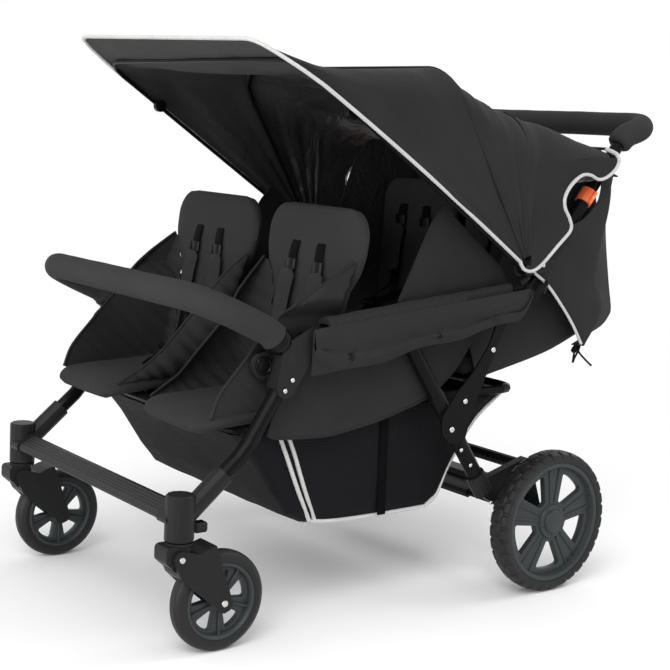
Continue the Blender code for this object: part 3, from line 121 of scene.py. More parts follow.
def rounded(points, radii, steps=8, closed=False):
    points = [Vector(point) for point in points]
    count = len(points)
    path = []
    for index, corner in enumerate(points):
        radius = radii[index]
        if radius == 0 or (not closed and index in (0, count - 1)):
            path.append(corner)
            continue
        before = (points[index - 1] - corner).normalized()
        after = (points[(index + 1) % count] - corner).normalized()
        opening = before.angle(after)
        turn = pi - opening
        start = corner + before * radius / tan(opening / 2)
        end = corner + after * radius / tan(opening / 2)
        centre = corner + (before + after).normalized() * radius / sin(opening / 2)
        for step in range(steps + 1):
            share = step / steps
            first = (start - centre) * sin(turn * (1 - share)) / sin(turn)
            second = (end - centre) * sin(turn * share) / sin(turn)
            path.append(centre + first + second)
    return path


def resample(path, count):
    """The path at count evenly spaced points."""
    path = [Vector(point) for point in path]
    lengths = [0.0]
    for first, second in zip(path, path[1:]):
        lengths.append(lengths[-1] + (second - first).length)
    made = []
    place = 0
    for index in range(count):
        target = lengths[-1] * index / (count - 1)
        while place < len(path) - 2 and lengths[place + 1] < target:
            place += 1
        span = lengths[place + 1] - lengths[place]
        share = 0 if span < 1e-9 else min(1, (target - lengths[place]) / span)
        made.append(path[place].lerp(path[place + 1], share))
    return made


def drawn(points, count, per=6):
    """Evenly spaced points on a smooth path through the points."""
    return resample(curve(points, per), count)


def path_length(path):
    return sum((second - first).length for first, second in zip(path, path[1:]))


def flat(points):
    return [Vector((point[0], point[1], 0)) for point in points]


def value_at(table, share):
    """Straight-line reading of a table of (share, value)."""
    for (low, first), (high, second) in zip(table, table[1:]):
        if share <= high:
            return first + (second - first) * max(0, share - low) / (high - low)
    return table[-1][1]


def crumple(point, scale, seed=0.0):
    """Smooth noise from about -1 to 1."""
    spot = Vector((point[0] * scale[0], point[1] * scale[1], point[2] * scale[2])) + Vector((seed, -seed, 0.37))
    return noise.noise(spot) + 0.5 * noise.noise(spot * 2.1)


# Materials

def node(tree, kind, wires=None, **values):
    """A shader node: values set its fields and sockets, and wires gives the outputs that feed its sockets."""
    made = tree.nodes.new("ShaderNode" + kind)
    for key, value in values.items():
        if hasattr(made, key):
            setattr(made, key, value)
        else:
            made.inputs[key.replace("_", " ")].default_value = value
    for socket, source in (wires or {}).items():
        tree.links.new(source, made.inputs[socket])
    return made


def ramp(tree, factor, low, high, places=(0.0, 1.0)):
    """The colour that a factor picks between two."""
    made = node(tree, "ValToRGB", {"Fac": factor})
    for stop, place, colour in zip(made.color_ramp.elements, places, (low, high)):
        stop.position = place
        stop.color = (*colour, 1)
    return made.outputs["Color"]


def material(name, colour, rough, metallic=0.0, vary=0.18, grain=(700.0, 0.12), folds=None, weave=None,
             sheen=0.0, coat=0.0, specular=0.5, spots=6.0, dust=0.0):
    """A procedural finish: uneven colour and roughness, fine grain, folds and a weave.

    grain and folds are (size, strength), and weave is (period, strength, contrast).
    """
    made = bpy.data.materials.new(name)
    made.use_nodes = True
    tree = made.node_tree
    tree.nodes.clear()
    place = node(tree, "TexCoord").outputs["Object"]

    def speckle(size, detail, roughness, distortion=0.0):
        return node(tree, "TexNoise", {"Vector": place}, Scale=size, Detail=detail, Roughness=roughness,
                    Distortion=distortion).outputs["Fac"]

    def relief(height, strength, distance, below=None):
        wires = {"Height": height, "Normal": below} if below else {"Height": height}
        return node(tree, "Bump", wires, Strength=strength, Distance=distance).outputs["Normal"]

    def mixed(kind, first, second, factor):
        return node(tree, "MixRGB", {"Color1": first, "Color2": second}, blend_type=kind,
                    Fac=factor).outputs["Color"]

    cloud = speckle(spots, 5.0, 0.6)
    tint = ramp(tree, cloud, [c * (1 - vary) for c in colour], [min(1, c * (1 + vary)) for c in colour],
                (0.32, 0.68))
    gloss = node(tree, "MapRange", {"Value": cloud}, To_Min=max(0.05, rough - 0.09), To_Max=min(1.0, rough + 0.09))
    normal = relief(speckle(grain[0], 3.0, 0.55), grain[1], 0.0006)
    if weave:
        period, strength, contrast = weave
        waves = []
        for turn, bands in (((0, 0, 0.785), "X"), ((0.785, 0, 0), "Z"), ((0, 0.785, 0), "X")):
            spin = node(tree, "Mapping", {"Vector": place}, Rotation=turn)
            waves.append(node(tree, "TexWave", {"Vector": spin.outputs["Vector"]}, bands_direction=bands,
                              Scale=2 * pi / (20 * period), Distortion=0.4, Detail=1.0).outputs["Fac"])
        crossed = node(tree, "Math", {0: waves[0], 1: waves[1]}, operation="MULTIPLY").outputs[0]
        threads = node(tree, "Math", {0: crossed, 1: waves[2]}, operation="MAXIMUM").outputs[0]
        normal = relief(threads, strength, 0.0005, normal)
        tint = mixed("MULTIPLY", tint, threads, contrast)
    if folds:
        normal = relief(speckle(folds[0], 4.0, 0.55, 0.8), folds[1], 0.012, normal)
    if dust:
        worn = ramp(tree, speckle(38.0, 6.0, 0.75), [0] * 3, [dust] * 3, (0.60, 0.78))
        tint = mixed("ADD", tint, worn, 1.0)
    shader = node(tree, "BsdfPrincipled",
                  {"Base Color": tint, "Normal": normal, "Roughness": gloss.outputs["Result"]},
                  Metallic=metallic, Specular_IOR_Level=specular, Sheen_Weight=sheen, Sheen_Roughness=0.5,
                  Coat_Weight=coat, Coat_Roughness=0.25)
    node(tree, "OutputMaterial", {"Surface": shader.outputs["BSDF"]})
    return made


CLOTH = material("cloth_charcoal", (0.0250, 0.0250, 0.0255), 0.82, vary=0.10, weave=(0.0016, 0.25, 0.18),
                 folds=(9.0, 0.16), sheen=0.02, specular=0.08)
PAD = material("cloth_padded", (0.0275, 0.0275, 0.0280), 0.88, vary=0.08, weave=(0.0018, 0.22, 0.15),
               folds=(7.0, 0.06), sheen=0.03, specular=0.06)
# Inner face of the front hood: the charcoal cloth painted about twice as light, painted light that stands in for light
# inside the shaded hood.
INNER_PAINTED_LIGHT = material("cloth_inner_painted_light", (0.0520, 0.0520, 0.0525), 0.80, vary=0.12, weave=(0.0016, 0.25, 0.18),
                 folds=(12.0, 0.30), sheen=0.02, specular=0.08)
# Glossy black lining of the rear hood and rear body: its colour painted lighter than the charcoal cloth, painted light
# that stands in for light in the shade under the hood.
LINING_PAINTED_LIGHT = material("cloth_lining_painted_light", (0.0450, 0.0450, 0.0455), 0.32, vary=0.20, grain=(500.0, 0.05),
                  folds=(15.0, 0.85), weave=(0.0012, 0.08, 0.10), specular=0.50)
NET = material("cloth_net", (0.0062, 0.0062, 0.0082), 0.62, vary=0.25, weave=(0.0034, 0.9, 0.85),
               folds=(8.0, 0.08), specular=0.12)
PIPING = material("piping_grey", (0.560, 0.560, 0.550), 0.62, vary=0.06, grain=(900.0, 0.25),
                  weave=(0.0022, 0.35, 0.18), spots=14.0)
DARK_PIPING = material("piping_dark", (0.016, 0.016, 0.017), 0.60, specular=0.15, vary=0.12, weave=(0.0020, 0.3, 0.2))
WEBBING = material("webbing_black", (0.0030, 0.0030, 0.0033), 0.62, vary=0.15, weave=(0.0026, 0.9, 0.55),
                   specular=0.05)
BUCKLE = material("plastic_gloss_black", (0.0045, 0.0045, 0.0050), 0.26, vary=0.10, grain=(350.0, 0.06),
                  specular=0.10, dust=0.003)
MOULDED = material("plastic_moulded", (0.0125, 0.0128, 0.0132), 0.44, vary=0.12, grain=(420.0, 0.35),
                   specular=0.15, dust=0.006)
FOOT = material("plastic_foot_bar", (0.0150, 0.0150, 0.0160), 0.48, vary=0.14, grain=(300.0, 0.5), specular=0.22,
                dust=0.012)
SLATE = material("plastic_slate_rim", (0.0310, 0.0360, 0.0370), 0.42, vary=0.12, grain=(380.0, 0.3),
                 specular=0.25, dust=0.008)
RUBBER = material("rubber_tyre", (0.0085, 0.0085, 0.0087), 0.50, vary=0.25, grain=(260.0, 0.4), specular=0.30,
                  dust=0.006)
FOAM = material("foam_grip", (0.0320, 0.0320, 0.0325), 0.90, vary=0.08, grain=(520.0, 0.7), sheen=0.02,
                specular=0.06, folds=(14.0, 0.04))
PAINT = material("metal_painted_black", (0.0042, 0.0042, 0.0046), 0.36, metallic=0.0, vary=0.10,
                 grain=(600.0, 0.05), specular=0.08, coat=0.01, dust=0.003)
STEEL = material("metal_steel", (0.62, 0.62, 0.61), 0.26, metallic=1.0, vary=0.10, grain=(900.0, 0.15), spots=60.0)
ORANGE = material("plastic_orange", (0.830, 0.150, 0.040), 0.38, vary=0.07, grain=(320.0, 0.2), spots=20.0)
CORD = material("cord_black", (0.005, 0.005, 0.006), 0.55, specular=0.15, vary=0.2, weave=(0.0022, 0.8, 0.5))
SLOTS = {CLOTH: "dark_cloth", PAD: "dark_cloth", NET: "basket_net", PIPING: "piping", DARK_PIPING: "piping",
         WEBBING: "webbing", CORD: "webbing", BUCKLE: "snap_plastic", SLATE: "slate_rim", RUBBER: "tyre_rubber",
         FOAM: "foam_grip", PAINT: "black_metal", STEEL: "steel"}


# Pieces

def put(name, data):
    """A new object in the scene."""
    made = bpy.data.objects.new(name, data)
    bpy.context.scene.collection.objects.link(made)
    return made


def shade(piece, angle=40):
    """Smooth shading, broken at the edges that turn more than the angle."""
    piece.data.polygons.foreach_set("use_smooth", [True] * len(piece.data.polygons))
    piece.data.set_sharp_from_angle(angle=radians(angle))


def baked(thing):
    """The mesh of an object with its modifiers or curve settings applied."""
    graph = bpy.context.evaluated_depsgraph_get()
    return bpy.data.meshes.new_from_object(thing.evaluated_get(graph), depsgraph=graph)


def weld(mesh):
    work = bmesh.new()
    work.from_mesh(mesh)
    bmesh.ops.remove_doubles(work, verts=work.verts, dist=1e-6)
    bmesh.ops.recalc_face_normals(work, faces=work.faces)
    work.to_mesh(mesh)
    work.free()


def dress(name, mesh, look, body=None, slot=None, smooth=40, inner=None, thickness=0.0):
    """A mesh as a piece, with its material, thickness, shading and body.

    The slot is not used: it is worked out, from the material unless it is given, and then left. Parts that are joined
    later are given an empty one.
    """
    piece = put(name, mesh)
    mesh.materials.clear()
    mesh.materials.append(look)
    if inner:
        mesh.materials.append(inner)
    if thickness:
        solid = piece.modifiers.new("thick", "SOLIDIFY")
        solid.thickness = thickness
        solid.offset = 0.0
        solid.material_offset = 1 if inner else 0
        piece.data = baked(piece)
        piece.modifiers.clear()
        piece.data.name = mesh.name
        bpy.data.meshes.remove(mesh)
    shade(piece, smooth)
    slot = SLOTS[look] if slot is None else slot
    if body:
        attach(piece, body)
    return piece


def finish(name, verts, faces, look, body=None, slot=None, smooth=40, inner=None, thickness=0.0):
    """A piece from its vertices and faces."""
    mesh = bpy.data.meshes.new(name)
    mesh.from_pydata([tuple(v) for v in verts], [], faces)
    mesh.validate()
    weld(mesh)
    return dress(name, mesh, look, body, slot, smooth, inner, thickness)


def joined(name, pieces):
    """One object made of several that share the same finish."""
    work = bmesh.new()
    for piece in pieces:
        piece.data.transform(piece.matrix_world)
        work.from_mesh(piece.data)
    mesh = bpy.data.meshes.new(name)
    work.to_mesh(mesh)
    work.free()
    looks = [slot.material for slot in pieces[0].material_slots]
    for piece in pieces:
        bpy.data.objects.remove(piece, do_unlink=True)
    made = put(name, mesh)
    for look in looks:
        made.data.materials.append(look)
    return made


def grid_faces(rows, columns, closed_rows=False, closed_columns=False):
    faces = []
    for i in range(rows if closed_rows else rows - 1):
        for j in range(columns if closed_columns else columns - 1):
            a = i * columns + j
            b = ((i + 1) % rows) * columns + j
            c = ((i + 1) % rows) * columns + (j + 1) % columns
            d = i * columns + (j + 1) % columns
            faces.append((a, b, c, d))
    return faces


def stacked(rings):
    """Vertices and faces of a solid made of rings of points, closed at both ends."""
    number = len(rings[0])
    faces = grid_faces(len(rings), number, False, True)
    faces.append(tuple(range(number)))
    faces.append(tuple((len(rings) - 1) * number + k for k in reversed(range(number))))
    return [point for ring in rings for point in ring], faces


def sheet(name, rows, look, body, thickness, inner=None, smooth=50):
    """A thin cloth from rows of points."""
    return finish(name, [point for row in rows for point in row], grid_faces(len(rows), len(rows[0])), look, body,
                  smooth=smooth, inner=inner, thickness=thickness)


def hung_rows(top, foot, columns, sign, across):
    """Rows of points from one outline down to another; across(spot, share) is how far out each one lies."""
    rows = []
    for high, low in zip(top, foot):
        rows.append([])
        for j in range(columns):
            share = j / (columns - 1)
            spot = high.lerp(low, share)
            rows[-1].append(at(sign * across(spot, share), (spot.x, spot.y)))
    return rows


def sweep(path, section, scale=None, up=None):
    """Vertices and faces of a closed section carried along a path."""
    path = [Vector(point) for point in path]
    last = len(path) - 1
    rings = []
    side = None
    for index, point in enumerate(path):
        before = path[index - 1] if index > 0 else path[0] * 2 - path[1]
        after = path[index + 1] if index < last else path[-1] * 2 - path[-2]
        heading = (after - before).normalized()
        if up is not None:
            side = Vector(up).cross(heading).normalized()
        elif side is None:
            side = heading.cross(Vector((0.13, 0.21, 0.97))).normalized()
        else:
            side = (side - heading * side.dot(heading)).normalized()
        rise = heading.cross(side).normalized()
        size = scale(index / last) if scale else 1.0
        rings.append([point + side * u * size + rise * v * size for u, v in section])
    return stacked(rings)


def circle(radius, sides=16, tall=1.0):
    return [(radius * cos(2 * pi * k / sides), tall * radius * sin(2 * pi * k / sides)) for k in range(sides)]


def tube(name, path, radius, look, body=None, sides=16, slot=None, scale=None, tall=1.0):
    verts, faces = sweep(path, circle(radius, sides, tall), scale)
    return finish(name, verts, faces, look, body, slot, smooth=60)


def strap(name, path, width, thick, body=None, up=(0, 0, 1), look=WEBBING, slot=None):
    half = width / 2
    rim = thick / 2
    section = [(-half + rim, -rim), (half - rim, -rim), (half, 0), (half - rim, rim), (-half + rim, rim), (-half, 0)]
    verts, faces = sweep(path, section, None, up)
    return finish(name, verts, faces, look, body, slot, smooth=50)


def plate(outlines, low, high, bevel):
    """The disc of a rim: flat outlines, the first solid and the rest holes, thickened along X with soft edges."""
    data = bpy.data.curves.new("disc", "CURVE")
    data.dimensions = "2D"
    data.fill_mode = "BOTH"
    for outline in outlines:
        spline = data.splines.new("POLY")
        spline.points.add(len(outline) - 1)
        for point, spot in zip(spline.points, outline):
            point.co = (spot[0], spot[1], 0, 1)
        spline.use_cyclic_u = True
    data.extrude = max(1e-5, (high - low) / 2 - bevel)
    data.bevel_depth = bevel
    data.bevel_resolution = 2
    data.offset = -bevel
    maker = put("disc_curve", data)
    mesh = baked(maker)
    bpy.data.objects.remove(maker, do_unlink=True)
    bpy.data.curves.remove(data)
    mesh.transform(Matrix(((0, 0, 1, (low + high) / 2), (1, 0, 0, AXLE), (0, 1, 0, 0), (0, 0, 0, 1))))
    weld(mesh)
    return dress("disc", mesh, SLATE, slot="", smooth=50)


def lathe(name, profile, centre, axis, look, body=None, steps=48, slot=None):
    """A profile of (radius, distance along the axis) turned round the axis."""
    axis = Vector(axis).normalized()
    side = axis.orthogonal().normalized()
    other = axis.cross(side)
    verts = []
    for index in range(steps):
        angle = 2 * pi * index / steps
        out = side * cos(angle) + other * sin(angle)
        for radius, distance in profile:
            verts.append(Vector(centre) + axis * distance + out * radius)
    faces = grid_faces(steps, len(profile), True, False)
    return finish(name, verts, faces, look, body, slot, smooth=32)


def rivet(centre, axis, radius, height, look=STEEL, name="rivet"):
    profile = [(0, height), (radius * 0.5, height * 0.93), (radius * 0.85, height * 0.6), (radius, 0.0002),
               (radius, -0.0012), (0, -0.0012)]
    return lathe(name, profile, centre, axis, look, steps=20, slot="")


# Wheels

FRONT_HUB = (0, 0.090)
REAR_HUB = (0.7585, 0.144)
REAR_WHEEL_X = 0.357
SPOKES = 5


def spoke_angle(index):
    return 2 * pi * index / SPOKES + pi / 2


def window(centre, index, inner, outer, inner_half, outer_half):
    """The opening between two spokes."""
    middle = spoke_angle(index)
    points = []
    for radius, half, direction, count in ((inner, inner_half, -1, 3), (outer, outer_half, 1, 8)):
        spread = asin(half / radius)
        for step in range(count + 1):
            share = (2 * step / count - 1) * direction
            points.append(polar(centre, middle - spread * share, radius))
    corners = rounded(flat(points), [0.004 if k in (0, 3, 4, len(points) - 1) else 0 for k in range(len(points))],
                      4, True)
    return [(point.x, point.y) for point in corners]


def ring(centre, radius, steps=64):
    return [polar(centre, 2 * pi * k / steps, radius) for k in range(steps)]


def mirrored(half):
    """A lathe profile from its outer half."""
    return half + [(radius, -across) for radius, across in reversed(half) if across]


def turned(name, profile, centre, steps):
    return lathe(name, profile, centre, ACROSS, SLATE, steps=steps, slot="")


def rib(start, end, radius):
    return tube("rib", [start, end], radius, SLATE, sides=10, slot="")


def finish_rim(wheel, side, sign, parts):
    """One rim from its parts, which are built at the left side."""
    rim = joined(f"rim_{wheel}_{side}", parts)
    if sign < 0:
        rim.data.transform(Matrix.Diagonal((-1, 1, 1, 1)))
        rim.data.flip_normals()
    shade(rim)
    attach(rim, f"{wheel}_wheel_{side}")
    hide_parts(f"{wheel}_rim_{side}")


def front_wheel(side, sign):
    half = 0.018
    tyre = mirrored([(0.0693, half - 0.002), (0.0770, half), (0.0835, half - 0.0022), (0.0872, half - 0.0062),
                     (0.0888, 0.0088), (0.0878, 0.0078), (0.0892, 0.0066), (0.0900, 0.0020)])
    made = lathe(f"tyre_front_{side}", tyre + tyre[:1], at(SIDE * sign, FRONT_HUB), ACROSS, RUBBER,
                 "front_wheel_" + side, 96)
    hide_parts("front_tyre_" + side)
    hub = at(SIDE, FRONT_HUB)
    holes = [window(FRONT_HUB, k, 0.0235, 0.0545, 0.0050, 0.0185) for k in range(SPOKES)]
    band = mirrored([(0.0692, 0.0150), (0.0678, 0.0166), (0.0640, 0.0168), (0.0618, 0.0150), (0.0600, 0.0090),
                     (0.0596, 0)])
    core = mirrored([(0, 0.0195), (0.0085, 0.0195), (0.0105, 0.0180), (0.0120, 0.0120), (0.0185, 0.0092),
                     (0.0215, 0.0070)])
    parts = [plate([ring(FRONT_HUB, 0.0640)] + holes, SIDE - 0.0070, SIDE + 0.0070, 0.0018),
             turned("band", band + band[:1], hub, 96), turned("core", core, hub, 48)]
    for k in range(SPOKES):
        start = at(SIDE, polar(FRONT_HUB, spoke_angle(k + 0.5), 0.019))
        end = at(SIDE, polar(FRONT_HUB, spoke_angle(k + 0.5), 0.061))
        for face in (1, -1):
            parts.append(rib(start + Vector((face * 0.0078, 0, 0)), end + Vector((face * 0.0100, 0, 0)), 0.0026))
    finish_rim("front", side, sign, parts)


def rear_wheel(side, sign):
    """A wheel whose tyre has 32 tread blocks a side, the shoulder's and the crown's set off from each other."""
    slices = 288
    slices_per_block = 9
    groove = 0.0008
    verts = []
    for index in range(slices):
        drop = 0.0 if index % slices_per_block < 7 else 0.0030
        shift = 0.0 if (index + 4) % slices_per_block < 7 else 0.0034
        profile = mirrored([(0.1222, 0.0212), (0.1300, 0.0229), (0.1362, 0.0228 - drop * 0.5),
                            (0.1392 - drop, 0.0212), (0.1422 - drop, 0.0150), (0.1430 - drop, 0.0104),
                            (0.1434 - groove, 0.0088), (0.1439 - shift * 0.4, 0.0060), (0.1440 - shift * 0.4, 0)])
        for radius, across in profile:
            verts.append(at(sign * (REAR_WHEEL_X + across), polar(REAR_HUB, 2 * pi * index / slices, radius)))
    made = finish(f"tyre_rear_{side}", verts, grid_faces(slices, len(profile), True, True), RUBBER,
                  "rear_wheel_" + side, smooth=24)
    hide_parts("rear_tyre_" + side)
    hub = at(REAR_WHEEL_X, REAR_HUB)
    holes = [window(REAR_HUB, k + 0.5, 0.0425, 0.0985, 0.0080, 0.0335) for k in range(SPOKES)]
    band = [(0.1220, 0.0200), (0.1206, 0.0214), (0.1160, 0.0216), (0.1130, 0.0196), (0.1112, 0.0120),
            (0.1100, 0.0085), (0.1100, -0.0120), (0.1130, -0.0190), (0.1160, -0.0214), (0.1206, -0.0214),
            (0.1220, -0.0200)]
    core = [(0, 0.0222), (0.0150, 0.0222), (0.0210, 0.0212), (0.0232, 0.0190), (0.0238, 0.0160),
            (0.0290, 0.0160), (0.0330, 0.0156), (0.0345, 0.0140), (0.0350, 0.0106), (0.0400, 0.0092),
            (0.0400, -0.0060), (0.0200, -0.0190), (0, -0.0190)]
    parts = [plate([ring(REAR_HUB, 0.1150, 96)] + holes, REAR_WHEEL_X - 0.0050, REAR_WHEEL_X + 0.0098, 0.0022),
             turned("band", band + band[:1], hub, 120), turned("core", core, hub, 64)]
    for k in range(SPOKES):
        middle = spoke_angle(k)
        for offset in (-0.0115, 0.0115):
            aside = Vector((0, -sin(middle), cos(middle))) * offset
            start = at(REAR_WHEEL_X + 0.0106, polar(REAR_HUB, middle, 0.038)) + aside * 0.55
            end = at(REAR_WHEEL_X + 0.0106, polar(REAR_HUB, middle, 0.110)) + aside * 1.25
            parts.append(rib(start, end, 0.0022))
    for k in range(SPOKES):
        bolt = at(REAR_WHEEL_X + 0.0162, polar(REAR_HUB, spoke_angle(k + 0.5), 0.0292))
        parts.append(rivet(bolt, ACROSS, 0.0022, 0.0010, SLATE))
    finish_rim("rear", side, sign, parts)


both_sides(front_wheel)
both_sides(rear_wheel)


# Bars and foam

FOAM_RADIUS = 0.0250
HANDLE_BENDS = [0, 0.07, 0.050]


def u_path(points, radii, steps=9):
    left = [at(SIDE, point) for point in points]
    right = [at(-SIDE, point) for point in reversed(points)]
    return rounded(left + right, radii + radii[::-1], steps)


def foam_sleeve(name, points, radii, body, node_name, seed):
    """A foam sleeve with soft ends and the slight unevenness of foam."""
    path = resample(u_path(points, radii), 200)
    length = path_length(path)

    def scale(share):
        end = min(share, 1 - share) * length
        return 0.82 + 0.18 * sqrt(max(0.0, 1 - (1 - min(1.0, end / 0.010)) ** 2))

    verts, faces = sweep(path, circle(FOAM_RADIUS, 32), scale)
    verts = [v + Vector((0, 0, 1)) * 0.0006 * crumple(v, (14, 14, 14), seed) for v in verts]
    made = finish(name, verts, faces, FOAM, body, smooth=60)
    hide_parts(node_name)


def bar(name, points, radii, count, radius, body, sides, node_name):
    made = tube(name, resample(u_path(points, radii), count), radius, PAINT, body, sides)
    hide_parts(node_name)


foam_sleeve("foam_bumper", [along(BUMPER_PIVOT, BUMPER_KNEE, 0.026), BUMPER_KNEE, BUMPER_FRONT], [0, 0.05, 0.075],
            "bumper", "bumper_foam", 1.0)
foam_sleeve("foam_handle", [along(KNEE, RAIL_REAR, 0.0235), KNEE, TOP], HANDLE_BENDS, "handle", "handle_grip", 5.0)
bar("bar_handle", [along(RAIL_REAR, KNEE, 0.030), KNEE, TOP], HANDLE_BENDS, 160, 0.0130, "handle", 24,
    "handle_tube")
bar("bar_bumper", [along(BUMPER_PIVOT, BUMPER_KNEE, -0.0125), BUMPER_KNEE, BUMPER_FRONT], [0, 0.08, 0.075], 140,
    0.0110, "bumper", 20, "bumper_tube")


def bumper_sleeve(side, sign):
    ends = [at(SIDE * sign, along(BUMPER_PIVOT, BUMPER_KNEE, distance)) for distance in (0.010, 0.034)]
    tube(f"sleeve_bumper_{side}", resample(ends, 8), 0.0265, BUCKLE, "bumper", 28, "moulded_black",
         scale=lambda share: 0.74 + 0.26 * sin(pi / 2 * min(1, share * 1.6)))


both_sides(bumper_sleeve)


# Hood

LEG_POINTS = 15
ROOF_POINTS = 12


def fan_row(roof, corner, crown, sink, scallop=None):
    """Points of one fan line, from the left pivot over the roof to the right one."""
    angle = atan2(roof[1] - HOOD_PIVOT[1], roof[0] - HOOD_PIVOT[0])
    reach = hypot(roof[1] - HOOD_PIVOT[1], roof[0] - HOOD_PIVOT[0])
    half = []
    leg = [Vector((CANOPY_X, 0.026, 0)), Vector((CANOPY_X, reach - corner, 0))]
    for index, spot in enumerate(resample(leg, LEG_POINTS)):
        place = scallop[index] if scallop else polar(HOOD_PIVOT, angle, spot.y)
        half.append((spot.x - sink * sin(pi * index / (LEG_POINTS - 1)), place))
    for t in (pi / 2 * k / 8 for k in range(1, 9)):
        spot = Vector((CANOPY_X - corner * (1 - cos(t)), reach - corner * (1 - sin(t)), 0))
        half.append((spot.x, polar(HOOD_PIVOT, angle, spot.y)))
    for index in range(1, ROOF_POINTS):
        x = (CANOPY_X - corner) * (1 - index / ROOF_POINTS)
        half.append((x, polar(HOOD_PIVOT, angle, reach + crown * (1 - (x / CANOPY_X) ** 2))))
    full = half + [(0, polar(HOOD_PIVOT, angle, reach + crown))] + [(-x, p) for x, p in reversed(half)]
    return [at(x, point) for x, point in full]


def blend_rows(rows, per):
    """More rows between the given ones, on smooth lines through them."""
    columns = [curve([row[j] for row in rows], per) for j in range(len(rows[0]))]
    return [[column[i] for column in columns] for i in range(len(columns[0]))]


LIFT = 0.0056
FRONT_ANGLE = radians(147)
MID_ANGLE = radians(122)
FRONT_TOP = polar(HOOD_PIVOT, FRONT_ANGLE, 0.666)
MID_TOP = polar(HOOD_PIVOT, MID_ANGLE, 0.430)
EDGE = (0.0300, 1.0540)
FIRST = (FRONT_TOP[0] + 0.006, FRONT_TOP[1] + LIFT)
MIDDLE = (MID_TOP[0], MID_TOP[1] + LIFT)
SCALLOP = [(0.668, 0.652), (0.693, 0.663), (0.735, 0.700), (0.768, 0.731), (0.764, 0.752), (0.748, 0.775),
           (0.746, 0.796), (0.762, 0.820), (0.790, 0.839), (0.815, 0.840), (0.838, 0.832), (0.860, 0.836),
           (0.882, 0.850), (0.893, 0.866), (0.892, 0.876)]


def canopy_sheet(name, rows, inner, seed):
    """A panel of the hood with tension folds that fan from the pivots."""
    made = []
    count = len(rows)
    for i, row in enumerate(rows):
        slack = sin(pi * (i / (count - 1))) ** 0.6
        made.append([])
        for j, spot in enumerate(row):
            before = row[max(0, j - 1)]
            after = row[min(len(row) - 1, j + 1)]
            down = rows[min(count - 1, i + 1)][j] - rows[max(0, i - 1)][j]
            normal = (after - before).cross(down)
            normal = normal.normalized() if normal.length > 1e-9 else Vector((0, 0, 1))
            if normal.dot(spot - PIVOT) < 0:
                normal.negate()
            reach = (spot - Vector((spot.x, PIVOT.y, PIVOT.z))).length
            angle = atan2(spot.z - PIVOT.z, spot.y - PIVOT.y)
            side = min(1.0, max(0.0, (abs(spot.x) - 0.20) / 0.12))
            folds = noise.noise(Vector((angle * 9 + seed, reach * 2.2, spot.x * 2.0)))
            folds += 0.5 * noise.noise(Vector((angle * 21 + seed, reach * 5.0, spot.x * 5.0)))
            drift = crumple(spot, (7, 9, 9), seed)
            gather = noise.noise(Vector((angle * 30 + seed, reach * 3.0, spot.x * 9.0)))
            height = slack * (0.0062 * folds * side * min(1, reach / 0.15) + 0.0034 * drift)
            height -= slack * 0.0035 * (1 - side)
            height += slack * 0.0022 * gather * (1 - side * 0.4)
            made[-1].append(spot + normal * height)
    return sheet(name, made, CLOTH, None, 0.0020, inner)


def lifted(row):
    """The front edge stands a little higher on one side, and its legs bow up."""
    made = []
    for spot in row:
        share = min(1.0, max(0.0, (spot.z - HOOD_PIVOT[1]) / (EDGE[1] - HOOD_PIVOT[1])))
        narrow = 0.075 * min(1.0, max(0.0, (share - 0.84) / 0.12))
        rise = 0.010 * sin(pi * share) - 0.0085 * spot.x / CANOPY_X * share
        made.append(Vector((spot.x * (1 - narrow), spot.y, spot.z + rise)))
    return made


PIVOT = at(0, HOOD_PIVOT)


def ride_mid(piece):
    """Bakes the placement of a piece that lies between the handle and the middle bow into its mesh."""
    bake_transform(piece)


front_rows = blend_rows([lifted(fan_row(EDGE, 0.044, 0.000, 0)), fan_row(FIRST, 0.044, 0.001, 0),
                         fan_row((FIRST[0] + 0.10, FIRST[1] - 0.013), 0.050, -0.003, 0.004),
                         fan_row((FIRST[0] + 0.21, FIRST[1] - 0.010), 0.056, -0.003, 0.004),
                         fan_row((MIDDLE[0] - 0.010, MIDDLE[1]), 0.062, 0, 0.001),
                         fan_row(MIDDLE, 0.062, 0, 0)], 6)
rear_rows = blend_rows([fan_row(MIDDLE, 0.062, 0, 0), fan_row((0.480, 1.0000), 0.072, 0.002, 0.002),
                        fan_row((0.545, 0.9760), 0.080, 0.004, 0.001), fan_row((0.634, 0.9520), 0.078, 0.004, 0.002),
                        fan_row((0.717, 0.9330), 0.070, 0.002, 0.004),
                        fan_row((0.894, 0.8860), 0.050, 0, 0, scallop=SCALLOP)], 7)
hood_front = canopy_sheet("hood_sheet_front", front_rows, INNER_PAINTED_LIGHT, 3.0)
hood_rear = canopy_sheet("hood_sheet_rear", rear_rows, LINING_PAINTED_LIGHT, 8.0)
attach(hood_front, "hood_front")
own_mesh(hood_front)
ride_mid(hood_rear)
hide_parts("hood_canopy")


def off_cloth(row, distance, count):
    """A fan line a little outside the cloth."""
    made = []
    for spot in row:
        side = Vector((spot.x / CANOPY_X, 0, 0)) if abs(spot.x) > 0.30 else Vector((0, 0, 0))
        rise = Vector((0, 0, 0))
        if abs(spot.x) < 0.345:
            rise = Vector((0, spot.y - PIVOT.y, spot.z - PIVOT.z)).normalized()
        made.append(spot + (side + rise).normalized() * distance if (side + rise).length > 0 else spot)
    return resample(made, count)


def piping(name, path, radius, look, body=None, sides=8, tall=1.0):
    return tube(name, path, radius, look, body, sides, tall=tall)


piping("piping_hood_front", off_cloth(front_rows[0], 0.0008, 150), 0.0046, PIPING, "hood_front", 12, 0.75)
for name, row in (("seam_hood_a", rear_rows[14]), ("seam_hood_b", rear_rows[21])):
    ride_mid(piping(name, off_cloth(row, 0.0016, 110), 0.0016, DARK_PIPING))
piping("seam_hood_mid", off_cloth(front_rows[-1], 0.0012, 110), 0.0020, DARK_PIPING, "hood_mid")


